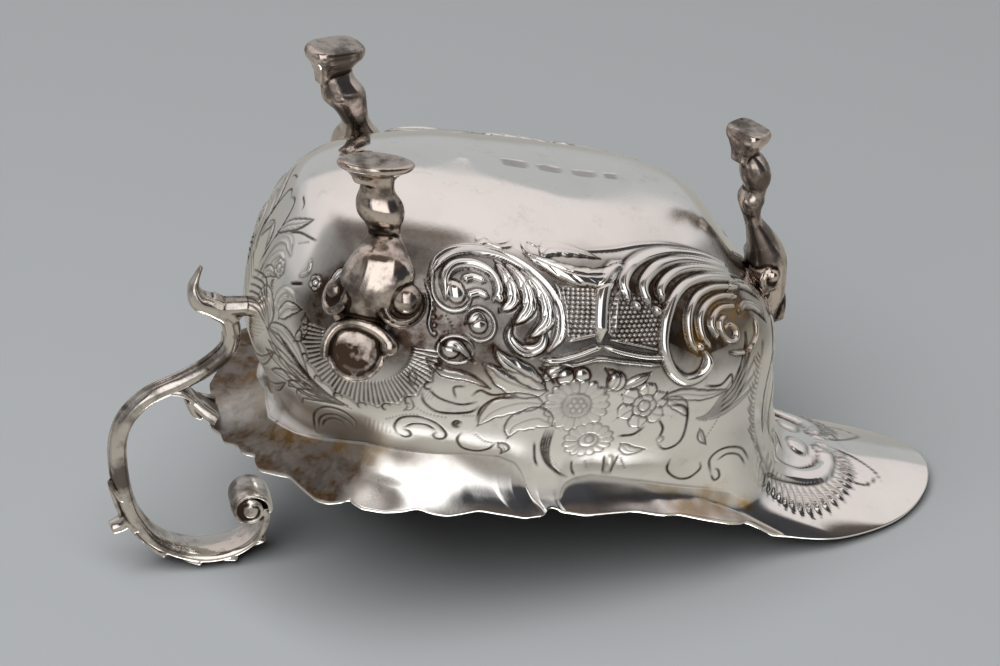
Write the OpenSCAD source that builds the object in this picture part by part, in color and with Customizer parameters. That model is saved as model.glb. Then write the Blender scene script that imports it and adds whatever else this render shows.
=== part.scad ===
// Small silver sauce boat: a raised oval bowl with a long pouring lip, three cast
// cabriole legs with scrolled knees, and a cast double-scroll handle tied to the rim
// by a short bracket. Millimetres, +Z up, feet on z = 0, lip towards +X.

/* [Bowl] */
// reach of the fullest rear wall behind the leg centre line
bowl_back = 56; // [50:0.5:62]
// reach of the front wall below the lip
bowl_front = 49.5; // [44:0.5:56]
// half width of the bowl at its fullest
bowl_half = 35.5; // [30:0.5:40]
// height of the underside above the ground
bowl_floor = 10; // [7:0.5:14]
// height of the fullest line
belly_z = 42; // [36:0.5:46]
// height of the drawn-in line below the rim
waist_z = 60; // [55:0.5:63]
// how far the drawn-in line sits inside the fullest line
waist_in = 1.5; // [0:0.5:4]
// thickness of the raised silver sheet
wall = 1; // [0.8:0.1:1.6]

/* [Rim and lip] */
// half width across the flared rim
rim_half = 36; // [32:0.5:40]
// height of the rim along the sides
rim_z = 66; // [63:0.5:70]
// how far the rim reaches out at the handle
rim_back = 60; // [57:0.5:64]
// how far the tip of the lip reaches forward
lip_reach = 89.5; // [80:0.5:96]
// height of the tip of the lip
lip_tip_z = 74; // [70:0.5:80]
// half width of the lip at its widest
lip_half = 23.5; // [18:0.5:28]
// height of the raised edges of the lip
lip_edge_z = 79; // [74:0.5:84]
// number of shallow scallops cut round the rim
scallops = 26; // [12:1:40]
// depth of one scallop
scallop_depth = 0.5; // [0:0.1:1]

/* [Legs] */
// rear feet: distance behind the centre line
rear_foot_x = 42.5; // [38:0.5:46]
// rear feet: distance each side of the middle
rear_foot_y = 22.3; // [18:0.1:26]
// front foot: distance ahead of the centre line
front_foot_x = 34.6; // [30:0.1:38]
// long side of an oval foot
foot_long = 14; // [10:0.5:18]
// short side of an oval foot
foot_short = 8; // [6:0.5:10]
// thickness of the foot's edge
foot_edge = 1.6; // [1:0.1:3]
// height of the tongues at the tops of the rear legs
rear_tongue_z = 42.5; // [38:0.5:46]
// height of the tongue at the top of the front leg
front_tongue_z = 42.5; // [38:0.5:46]
// width of the knee between its two scrolls
knee_w = 12.4; // [9:0.2:15]
// radius of one knee scroll
knee_scroll_r = 3.4; // [2.5:0.1:4.5]

/* [Handle] */
// width of the handle rod at its round part
rod_w = 4; // [3:0.1:5.5]
// thickness of the handle rod in its own plane
rod_t = 3.5; // [2.5:0.1:4.5]
// width of the broad leafed end
band_w = 8; // [6:0.5:10]
// height of the middle of the handle's top
handle_top = 102; // [98:0.5:106]
// radius of the closing scroll
scroll_r = 4; // [3:0.1:5]
// width of the bracket that ties handle and rim
bracket_w = 4.4; // [3:0.1:6]

/* [Hidden] */

// slides the piece so that the middle of its length is at x = 0
mid_x = (lip_reach - 78.5) / 2;
// facets round the bowl, and facets between two guide lines
around = 96;
between = 3;
// facets round a leg or rod
$fn = 24;
ring_sides = 16;

// guide lines of the bowl from the underside up:
// [back x, back z, half width, side z, middle x, front x, front z, squareness]
guides = [
    [-20, bowl_floor, 0, bowl_floor, -20, -20, bowl_floor, 2],
    [-37, bowl_floor + 1.4, 11.5, bowl_floor + 2, -20, 0, bowl_floor + 2, 2.2],
    [8 - bowl_back, bowl_floor + 6.4, 0.575 * bowl_half, bowl_floor + 6.4, -18,
     bowl_front - 25.5, bowl_floor + 4.5, 2.3],
    [3.5 - bowl_back, bowl_floor + 13.6, 0.845 * bowl_half, bowl_floor + 13.6, -15,
     bowl_front - 12, bowl_floor + 17, 2.3],
    [0.2 - bowl_back, belly_z - 8, bowl_half - 0.5, belly_z - 8, -13,
     bowl_front - 3.5, belly_z - 5, 2.3],
    [-bowl_back, belly_z + 7, bowl_half, belly_z + 7, -12,
     bowl_front, belly_z + 8, 2.25],
    [waist_in + 4 - bowl_back, waist_z + 1, bowl_half - waist_in, waist_z - 0.5, -12,
     bowl_front + 3, waist_z + 0.5, 2.2]
];
// turn from the lip at which each rim point is placed
rim_turn = [0, 9, 18, 28, 40, 50, 60, 75, 92, 112, 135, 158, 180];
// rim points from the tip of the lip round to the handle, one side
rim_line = [
    [lip_reach, 0, lip_tip_z],
    [lip_reach - 2.5, 9, lip_tip_z + 1.5],
    [lip_reach - 10.5, 17, lip_edge_z - 1.5],
    [lip_reach - 23.5, lip_half - 1.5, lip_edge_z],
    [lip_reach - 35.5, lip_half, lip_edge_z - 1],
    [lip_reach - 44.5, lip_half + 2, rim_z + 7.5],
    [lip_reach - 59.5, lip_half + 7.5, rim_z + 3],
    [10, rim_half - 1, rim_z + 1],
    [-10, rim_half, rim_z],
    [-32, rim_half - 0.5, rim_z],
    [-46, rim_half - 4, rim_z],
    [4.5 - rim_back, 17.5, rim_z + 1.3],
    [-rim_back, 0, rim_z + 5]
];

// smooth curve through the rows of p, with u counted in rows
function through(p, u) =
    let (n = len(p), v = max(0, min(u, n - 1.000001)), i = floor(v), f = v - i,
         a = p[max(i - 1, 0)], b = p[i], c = p[i + 1], d = p[min(i + 2, n - 1)])
    (2 * b + (c - a) * f + (2 * a - 5 * b + 4 * c - d) * f * f
     + (3 * b - a - 3 * c + d) * f * f * f) / 2;

function power(v, e) = sign(v) * pow(abs(v), e);
function unit(v) = v / max(norm(v), 0.000001);

// a point of one guide line, turned t from the lip
function guide_point(g, t) =
    let (c = cos(t), s = sin(t), reach = c > 0 ? g[5] - g[4] : g[4] - g[0],
         rise = c > 0 ? g[6] - g[3] : g[1] - g[3])
    [g[4] + reach * power(c, 2 / g[7]), g[2] * power(s, 2 / g[7]),
     g[3] + rise * pow(abs(c), 2.5)];

// the row number of the rim line at turn t
function rim_row(t) = lookup(t, [for (k = [0:12]) [rim_turn[k], k]]);

// a point of the scalloped rim, turned t from the lip
function rim_point(t) =
    let (h = t > 180 ? 360 - t : t, p = through(rim_line, rim_row(h)),
         wave = scallop_depth * abs(sin(scallops * h / 2)) * min(1, max(0, (h - 40) / 20)))
    [p[0], t > 180 ? -p[1] : p[1], p[2] + wave];

// guide points at one turn, from the underside to the rim; the one before the last
// gives the flare its hollow, deepest under the lip
function upright(t) =
    let (low = [for (g = guides) guide_point(g, t)], w = low[6], r = rim_point(t),
         ahead = pow(max(0, cos(t)), 2), f = 0.35 - 0.19 * ahead)
    concat(low, [[w[0] + f * (r[0] - w[0]), w[1] + (f + 0.2 * ahead) * (r[1] - w[1]),
                  w[2] + 0.62 * (r[2] - w[2])]], [r]);

rows = 8 * between;
// outer skin of the bowl: rows of points from the underside's middle up to the rim
outer = let (lines = [for (j = [0:around - 1]) upright(360 * j / around)])
    [for (i = [0:rows]) [for (j = [0:around - 1]) through(lines[j], i / between)]];

function skin_normal(i, j) =
    let (jn = (j + 1) % around, jp = (j + around - 1) % around,
         across = outer[i][jn] - outer[i][jp],
         up = outer[min(i + 1, rows)][j] - outer[max(i - 1, 0)][j])
    i == 0 ? [0, 0, -1] : unit(cross(across, up));

inner = [for (i = [0:rows]) [for (j = [0:around - 1])
    outer[i][j] - wall * skin_normal(i, j)]];

// all points but the repeated middle one of the first row
function flat_rows(g) = concat([g[0][0]],
    [for (i = [1:rows]) for (j = [0:around - 1]) g[i][j]]);
// number of row i's point j, counted after `first`
function at(first, i, j) = first + (i == 0 ? 0 : 1 + (i - 1) * around + j % around);
function flip(f) = [f[0], f[2], f[1]];
// triangles of one skin
function skin_faces(first) = concat(
    [for (j = [0:around - 1]) [at(first, 0, 0), at(first, 1, j), at(first, 1, j + 1)]],
    [for (i = [1:rows - 1]) for (j = [0:around - 1]) for (h = [0, 1])
        h == 0 ? [at(first, i, j), at(first, i + 1, j), at(first, i + 1, j + 1)]
               : [at(first, i, j), at(first, i + 1, j + 1), at(first, i, j + 1)]]);

// bowl raised from one sheet: outer skin, inner skin and the narrow rim between
module bowl_shell() {
    second = 1 + rows * around;
    polyhedron(
        points = concat(flat_rows(outer), flat_rows(inner)),
        faces = concat(skin_faces(0), [for (f = skin_faces(second)) flip(f)],
            [for (j = [0:around - 1]) for (h = [0, 1])
                h == 0 ? [at(0, rows, j), at(second, rows, j), at(second, rows, j + 1)]
                       : [at(0, rows, j), at(second, rows, j + 1), at(0, rows, j + 1)]]),
        convexity = 10);
}

// everything inside the bowl's outer skin, for cutting what is soldered against it
module bowl_block() {
    top = 1 + rows * around;
    polyhedron(
        points = concat(flat_rows(outer), [[0, 0, rim_z + 4]]),
        faces = concat(skin_faces(0),
            [for (j = [0:around - 1]) [at(0, rows, j), top, at(0, rows, j + 1)]]),
        convexity = 10);
}

// solid drawn through oval sections: each row is [out, side, z, width, thickness]
module drawn(stations, steps) {
    n = len(stations);
    count = (n - 1) * steps;
    cut = [for (k = [0:count]) through(stations, k / steps)];
    way = [for (k = [0:count]) unit([for (c = [0, 2])
        cut[min(k + 1, count)][c] - cut[max(k - 1, 0)][c]])];
    pts = [for (k = [0:count]) for (m = [0:ring_sides - 1])
        let (a = 360 * (m + 0.5) / ring_sides, w = cut[k][3] / 2 * cos(a),
             t = cut[k][4] / 2 * sin(a))
        [cut[k][0] - t * way[k][1], cut[k][1] + w, cut[k][2] + t * way[k][0]]];
    last = count * ring_sides;
    polyhedron(
        points = pts,
        faces = concat(
            [[for (m = [0:ring_sides - 1]) m]],
            [[for (m = [0:ring_sides - 1]) last + ring_sides - 1 - m]],
            [for (k = [0:count - 1]) for (m = [0:ring_sides - 1]) for (h = [0, 1])
                let (a = k * ring_sides + m, b = k * ring_sides + (m + 1) % ring_sides)
                h == 0 ? [a, a + ring_sides, b] : [b, a + ring_sides, b + ring_sides]]),
        convexity = 10);
}

// shares of the leg's height, and its width and thickness there
leg_share = [0.035, 0.11, 0.22, 0.35, 0.46, 0.56, 0.66, 0.78, 0.9, 1];
leg_width = [8, 6.6, 8.4, 5.6, 7.8, knee_w, knee_w + 1.2, knee_w - 0.4, 10, 4];
leg_thick = [6, 3.4, 5.6, 3.6, 5, 8, 8.4, 5.4, 3, 1.4];

// one cabriole leg with its foot at the origin, facing +X: `tall` is the height of its
// tongue, `out` and `aside` its way outwards and sideways at each share of the height,
// and `turn` the turn of its foot
module leg(tall, out, aside, turn) {
    knee = 6;
    knee_z = tall * leg_share[knee];
    slope = atan2(out[8] - out[6], (leg_share[8] - leg_share[6]) * tall);
    // oval foot with a flat sole, rising to the first neck
    rotate([0, 0, turn]) hull() {
        scale([foot_short / foot_long, 1, 1]) cylinder(d = foot_long - 1.6, h = 0.1);
        translate([0, 0, foot_edge * 0.6])
            scale([foot_short / foot_long, 1, 1]) cylinder(d = foot_long, h = foot_edge * 0.4);
        translate([0, 0, foot_edge + 1.4])
            scale([0.7, 1, 1]) cylinder(d = 6.8, h = 0.2);
    }
    // knopped shaft swelling into the knee, then thinning to the tongue
    drawn([for (k = [0:9])
        [out[k], aside[k], leg_share[k] * tall, leg_width[k], leg_thick[k]]], 3);
    // scrolls at both sides of the knee, each with a raised middle
    for (side = [-1, 1])
        translate([out[knee] - 0.6, aside[knee] + side * (knee_w / 2 + 1), knee_z - 1]) {
            hull() for (d = [-3, 1])
                translate([d, 0, 0]) rotate([0, 90 - slope, side * 20])
                    cylinder(r = knee_scroll_r - 0.3 * abs(d + 1), h = 1.4);
            translate([2.6, 0, 0]) rotate([4, 0, 7]) sphere(r = 1.7);
        }
    // leaf edges from the scrolls down to the tongue
    for (side = [-1, 1]) for (k = [0:2]) hull() for (m = [k, k + 1])
        translate([out[knee] - 0.2 + 0.3 * m, aside[knee + 1] + side * (knee_w / 2 + 1.3 - 0.9 * m),
                   knee_z + 1.5 + 0.085 * tall * m])
            rotate([9, 0, 5]) sphere(r = 1.7 - 0.2 * m, $fn = 12);
    // dished shield on the tongue
    translate([out[8], aside[8], tall - 4.8]) rotate([0, 90 - slope, 0])
        hull() for (d = [-1.6, 0.8])
            translate([0, 0, d]) cylinder(r = 4.6 - 0.4 * max(d, 0), h = 1);
}

module placed() translate([-mid_x, 0, 0]) children();

module body() color([0.86, 0.85, 0.83]) placed() bowl_shell();

// way of each leg outwards and sideways; the right rear one was bent further forwards
left_out = [0, -0.4, -1.2, -1.6, 1.4, 4, 5.2, 5.8, 5.8, 5.4];
left_aside = [0, -1.5, -3, -4.6, -5, -5.4, -5.6, -5.4, -5.2, -5];
right_out = [0, -0.4, -1.2, -1.8, 0.6, 3, 4, 4.6, 4.8, 4.4];
right_aside = [0, -1.5, -3, -5.2, -7.8, -10, -11.6, -12.2, -12.4, -12.4];
front_out = [0, 1.1, 2.9, 3.8, 4.6, 6.6, 9.2, 11.2, 12.2, 12.6];
straight = [for (k = [0:9]) 0];

// rear leg of the left side, facing outwards and backwards
module rear_leg(out, aside)
    difference() {
        translate([-rear_foot_x, rear_foot_y, 0]) rotate([0, 0, 108])
            leg(rear_tongue_z, out, aside, -8);
        bowl_block();
    }

module leg_rear_left() color([0.78, 0.76, 0.73]) placed() rear_leg(left_out, left_aside);

module leg_rear_right() color([0.78, 0.76, 0.73]) placed()
    mirror([0, 1, 0]) rear_leg(right_out, right_aside);

module leg_front() color([0.78, 0.76, 0.73]) placed()
    difference() {
        translate([front_foot_x, 0, 0]) leg(front_tongue_z, front_out, straight, 0);
        bowl_block();
    }

// middle line of the handle from the leafed end by the bowl up to the closing scroll
handle_line = [
    [-66, 0, 37.6, 0.9, 0.8],
    [-66.3, 0, 41, 2.4, 1.6],
    [-65.4, 0, 44.4, 5, 2.8],
    [-62.6, 0, 46.2, 5.4, rod_t],
    [-59.4, 0, 46.6, 4.8, rod_t],
    [-57.6, 0, 49.4, rod_w, rod_t],
    [-58.2, 0, 54, rod_w, rod_t],
    [-61.4, 0, 58.8, rod_w, rod_t],
    [-66.4, 0, 62.8, rod_w, rod_t],
    [-72, 0, 66.4, rod_w, rod_t],
    [-75.5, 0, 70.8, rod_w, rod_t],
    [-76.8, 0, 76, rod_w, rod_t],
    [-76.2, 0, 82, rod_w + 0.4, rod_t],
    [-74.3, 0, 88.6, rod_w + 1, rod_t - 0.2],
    [-71.6, 0, 94.2, rod_w + 1.8, rod_t - 0.3],
    [-67.2, 0, handle_top - 3, rod_w + 2.6, rod_t - 0.4],
    [-62, 0, handle_top - 0.6, band_w - 0.8, rod_t - 0.5],
    [-56.6, 0, handle_top, band_w, rod_t - 0.6],
    [-51.4, 0, handle_top - 1.4, band_w, rod_t - 0.8],
    [-47.6, 0, handle_top - 4.6, band_w, rod_t - 1],
    [-46, 0, handle_top - 9, band_w, rod_t - 1.2],
    [-46.6, 0, handle_top - 12.4, band_w - 0.2, rod_t - 1.6]
];
scroll_x = -49.4;
scroll_z = handle_top - 11.8;

module handle_casting() {
    drawn(handle_line, 3);
    // closing scroll with a button on each cheek
    translate([scroll_x, 0, scroll_z]) rotate([90, 0, 0]) {
        cylinder(r = scroll_r, h = band_w - 0.6, center = true);
        cylinder(r = scroll_r * 0.45, h = band_w + 0.8, center = true);
    }
    // stub soldered to the bowl
    hull() for (p = [[-60.6, 46, 2.2], [-54.5, 45, 1.9]])
        translate([p[0], 0, p[1]]) rotate([7, 0, 0]) sphere(r = p[2]);
    // leaf spur where the handle turns, and the leaf laid along its top
    hull() {
        translate([-72.4, 0, 95.4]) sphere(r = 1.7);
        translate([-75.6, 0, 97.6]) sphere(r = 0.7);
    }
    leaf = [for (k = [0:8]) through(handle_line, 13.4 + 0.7 * k)];
    for (k = [0:7]) hull() for (m = [k, k + 1])
        translate([leaf[m][0] - 1.3 * cos(25 + 16 * m), 0, leaf[m][2] + 1.3 * sin(25 + 16 * m)])
            scale([1, 1.5 - 0.6 * (m % 2), 0.7]) sphere(r = 1.6, $fn = 12);
}

module handle_scroll() color([0.82, 0.81, 0.79]) placed()
    difference() {
        handle_casting();
        bowl_block();
    }

// short bracket from the handle's inner curve to a small lug under the rim
module handle_bracket() color([0.8, 0.78, 0.76]) placed()
    difference() {
        union() {
            drawn([
                [-70.6, 0, 65.4, bracket_w - 1.2, 1.6],
                [-68, 0, 64.9, bracket_w - 0.6, 1.8],
                [-65.4, 0, 65.2, bracket_w, 1.8],
                [-62.4, 0, 67.4, bracket_w + 0.4, 1.8],
                [-58.6, 0, 69.6, bracket_w + 1.2, 1.4]
            ], 4);
            for (k = [-2:2]) hull() {
                translate([-62, 0.9 * k, 67.9]) sphere(r = 0.9, $fn = 12);
                translate([-58.8, 1.6 * k, 68.6]) sphere(r = 1.2, $fn = 12);
            }
            for (side = [-1, 1]) hull() for (d = [0, 1.6])
                translate([-64 + d, side * bracket_w / 2, 66 + d / 2])
                    sphere(r = 0.8, $fn = 12);
        }
        bowl_block();
        drawn(handle_line, 3);
    }

body();
leg_rear_left();
leg_rear_right();
leg_front();
handle_scroll();
handle_bracket();
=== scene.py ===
"""The looks of a silver sauce boat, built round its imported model.

The modelling code works in millimetres in the boat's own frame, before SHIFT centres it on the
row's origin; make_mesh turns that into metres of the row frame. The table's frame, in which the
camera and the lights are placed, has the boat upside down.
"""
import bpy
import numpy as np
from mathutils import Matrix, Vector
from mathutils.bvhtree import BVHTree


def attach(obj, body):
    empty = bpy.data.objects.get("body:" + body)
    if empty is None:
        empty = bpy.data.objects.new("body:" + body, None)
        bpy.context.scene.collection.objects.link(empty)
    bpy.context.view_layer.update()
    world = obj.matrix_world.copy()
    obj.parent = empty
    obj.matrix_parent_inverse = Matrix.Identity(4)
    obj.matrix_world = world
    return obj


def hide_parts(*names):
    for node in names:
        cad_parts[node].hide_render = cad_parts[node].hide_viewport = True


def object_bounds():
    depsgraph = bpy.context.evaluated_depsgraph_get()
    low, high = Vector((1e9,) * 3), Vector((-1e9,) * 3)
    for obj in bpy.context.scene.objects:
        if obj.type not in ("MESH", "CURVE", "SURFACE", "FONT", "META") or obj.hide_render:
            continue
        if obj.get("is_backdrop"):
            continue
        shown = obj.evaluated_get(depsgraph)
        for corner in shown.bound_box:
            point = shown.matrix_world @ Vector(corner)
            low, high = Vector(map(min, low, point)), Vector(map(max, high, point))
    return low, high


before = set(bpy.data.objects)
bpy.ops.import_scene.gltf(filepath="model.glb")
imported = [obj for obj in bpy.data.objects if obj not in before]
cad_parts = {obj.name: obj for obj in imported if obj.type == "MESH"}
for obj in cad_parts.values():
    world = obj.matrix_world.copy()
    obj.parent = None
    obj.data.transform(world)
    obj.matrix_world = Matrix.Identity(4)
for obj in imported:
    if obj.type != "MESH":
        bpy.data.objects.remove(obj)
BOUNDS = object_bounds()
MM = 0.001
SHIFT = np.array([-5.5, 0.0, 0.0])


# ---------------------------------------------------------------- small helpers
def through(p, u):
    """Smooth curve through the rows of p, u counted in rows."""
    p = np.asarray(p, float)
    n = len(p)
    v = np.clip(u, 0, n - 1.000001)
    i = np.floor(v).astype(int)
    f = (v - i)[..., None]
    a, b, c, d = p[np.maximum(i - 1, 0)], p[i], p[i + 1], p[np.minimum(i + 2, n - 1)]
    return (2 * b + (c - a) * f + (2 * a - 5 * b + 4 * c - d) * f**2
            + (3 * b - a - 3 * c + d) * f**3) / 2


def curve(pts, count):
    """Evenly counted points along a smooth curve, or along a line where there are only two."""
    if len(pts) > 2:
        return through(pts, np.linspace(0, len(pts) - 1, count))
    return pts[0] + np.linspace(0, 1, count)[:, None] * (pts[1] - pts[0])


def smooth(x, lo, hi):
    """Soft step from 0 at lo to 1 at hi."""
    t = np.clip((x - lo) / (hi - lo), 0, 1)
    return t * t * (3 - 2 * t)


def power(v, e):
    """A power that keeps the sign, for squarish rounds."""
    return np.sign(v) * np.abs(v) ** e


def bell(x, middle, reach):
    """1 in the middle, and falling off smoothly on both sides."""
    return np.exp(-((x - middle) / reach) ** 2)


def unit(v):
    """Vectors brought to length 1."""
    return v / np.maximum(np.linalg.norm(v, axis=-1, keepdims=True), 1e-9)


def make_mesh(name, verts_mm, quads, tris=None):
    """One mesh object from numpy arrays, in the row frame."""
    v = (np.asarray(verts_mm, float) + SHIFT) * MM
    faces = [f for f in (quads, tris) if f is not None and len(f)]
    loops = np.concatenate([f.ravel() for f in faces]).astype(np.int32)
    size = np.concatenate([np.full(len(f), f.shape[1], np.int32) for f in faces])
    start = np.concatenate([[0], np.cumsum(size)[:-1]]).astype(np.int32)
    me = bpy.data.meshes.new(name)
    me.vertices.add(len(v))
    me.vertices.foreach_set("co", v.astype(np.float32).ravel())
    me.loops.add(len(loops))
    me.loops.foreach_set("vertex_index", loops)
    me.polygons.add(len(size))
    me.polygons.foreach_set("loop_start", start)
    me.polygons.foreach_set("loop_total", size)
    me.polygons.foreach_set("use_smooth", np.ones(len(size), bool))
    me.update(calc_edges=True)
    ob = bpy.data.objects.new(name, me)
    bpy.context.scene.collection.objects.link(ob)
    return ob


def give(ob, name, values):
    """A number at each vertex, which the material reads."""
    a = ob.data.attributes.new(name, "FLOAT", "POINT")
    a.data.foreach_set("value", np.asarray(values, np.float32))


# ---------------------------------------------------------------- the bowl's skin
# rings of the bowl, from the base up. Each row: x and z at the handle's side, half width, z at the
# side, x of the widest place, x and z at the lip's side, squareness
GUIDES = [
    [-20, 10, 0, 10, -20, -20, 10, 2],
    [-37, 11.4, 11.5, 12, -20, 0, 12, 2.2],
    [-48, 16.4, 20.4, 16.4, -18, 24, 14.5, 2.3],
    [-52.5, 23.6, 30, 23.6, -15, 37.5, 27, 2.3],
    [-55.8, 34, 35, 34, -13, 46, 37, 2.3],
    [-56, 49, 35.5, 49, -12, 49.5, 50, 2.25],
    [-50.5, 61, 34, 59.5, -12, 52.5, 60.5, 2.2]]
RIM_TURN = [0, 9, 18, 28, 40, 50, 60, 75, 92, 112, 135, 158, 180]
RIM = [[89.5, 0, 74], [87, 9, 75.5], [79, 17, 77.5], [66, 22, 79], [54, 23.5, 78],
       [45, 25.5, 73.5], [30, 31, 69], [10, 35, 67], [-10, 36, 66], [-32, 35.5, 66],
       [-46, 32, 66], [-55.5, 17.5, 67.3], [-60, 0, 71]]

# rise and fall of the wavy edge: [turn, mm]
WAVES = [[0, 0], [31, -.5], [42, -.4], [49, -.6], [50.4, -1.1], [52, .3], [54.5, 1.2], [58, .2],
         [61.5, -1.2], [64.4, -.7], [68.2, -1.7], [72.6, -1.1], [77, -.4], [80.6, -.9], [82.6, -1.9],
         [84.4, 0], [88.5, 1.1], [92, .5], [95.5, -.2], [98, .4], [101, 1], [103.6, .6],
         [106, -.2], [108.5, .6], [112, 1.1], [117, .8], [121, -.3], [122.8, -1.2], [124.5, -.2],
         [128, .6], [132, .6], [136, -.3], [141, -1.2], [144, -1.6], [148, -.2], [151.5, 1],
         [154, .4], [156.4, -1.1], [160, .3], [163.6, -.5], [168, .4], [171.6, -.4], [176, .3],
         [180, -.2]]


def softly(t, table, spread, n=5):
    """A table of [turn, value] rows read with its corners rounded off."""
    tb = np.asarray(table, float)
    return sum(np.interp(t + d, tb[:, 0], tb[:, 1]) for d in np.linspace(-spread, spread, n)) / n


def rim_place(t):
    """Row of RIM for each turn, even in speed, and mirrored past both ends."""
    out = 0
    for d in np.linspace(-6, 6, 9):
        u = t + d
        k = np.interp(np.where(u > 180, 360 - u, np.abs(u)), RIM_TURN, range(13))
        out = out + np.where(u < 0, -k, np.where(u > 180, 24 - k, k)) / 9
    return out


def guides(t):
    """The nine rings of the bowl, from its flat base to the rim, at each turn t in degrees."""
    c, s = np.cos(np.radians(t)), np.sin(np.radians(t))
    out = []
    for q in GUIDES:
        reach = np.where(c > 0, q[5] - q[4], q[4] - q[0])
        rise = np.where(c > 0, q[6] - q[3], q[1] - q[3])
        out.append(np.stack([q[4] + reach * power(c, 2 / q[7]), q[2] * power(s, 2 / q[7]),
                             q[3] + rise * np.abs(c) ** 2.5], -1))
    # one mirrored row past each end keeps the rim round where the two sides meet
    p = through([[87, -9, 75.5]] + RIM + [[-55.5, -17.5, 67.3]], rim_place(t) + 1)
    rim = p[:, :3]
    w = out[6]
    ahead = np.maximum(0, c) ** 2
    f = 0.35 - 0.19 * ahead
    mid = np.stack([w[:, 0] + f * (rim[:, 0] - w[:, 0]),
                    w[:, 1] + (f + 0.2 * ahead) * (rim[:, 1] - w[:, 1]),
                    w[:, 2] + 0.62 * (rim[:, 2] - w[:, 2])], -1)
    return np.stack(out + [mid, rim], 0)


def skin(t, lev):
    """Points of the bowl's outside, a row for each level (counted in guide rings)."""
    L = guides(t)
    return through(L.reshape(9, -1), lev).reshape(len(lev), len(t), 3)


# ---------------------------------------------------------------- relief drawing board
# a = millimetres along the belly from the handle towards the lip,
# b = millimetres from the drawn-in line, + towards the underside
CELL = 0.1
A_MAX, B_LO, B_HI = 146.0, -14.0, 53.0
GA = np.arange(0, A_MAX, CELL)
GB = np.arange(B_LO, B_HI, CELL)


def blur(g, r):
    """Average over a square of cells, twice."""
    m = 2 * r + 1
    for _ in range(2):
        for ax in (0, 1):
            pad = [(r + 1, r) if ax == 0 else (0, 0), (r + 1, r) if ax == 1 else (0, 0)]
            c = np.cumsum(np.pad(g, pad, mode="edge"), axis=ax, dtype=float)
            g = (np.take(c, range(m, c.shape[ax]), ax)
                 - np.take(c, range(0, c.shape[ax] - m), ax)) / m
    return g


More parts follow.
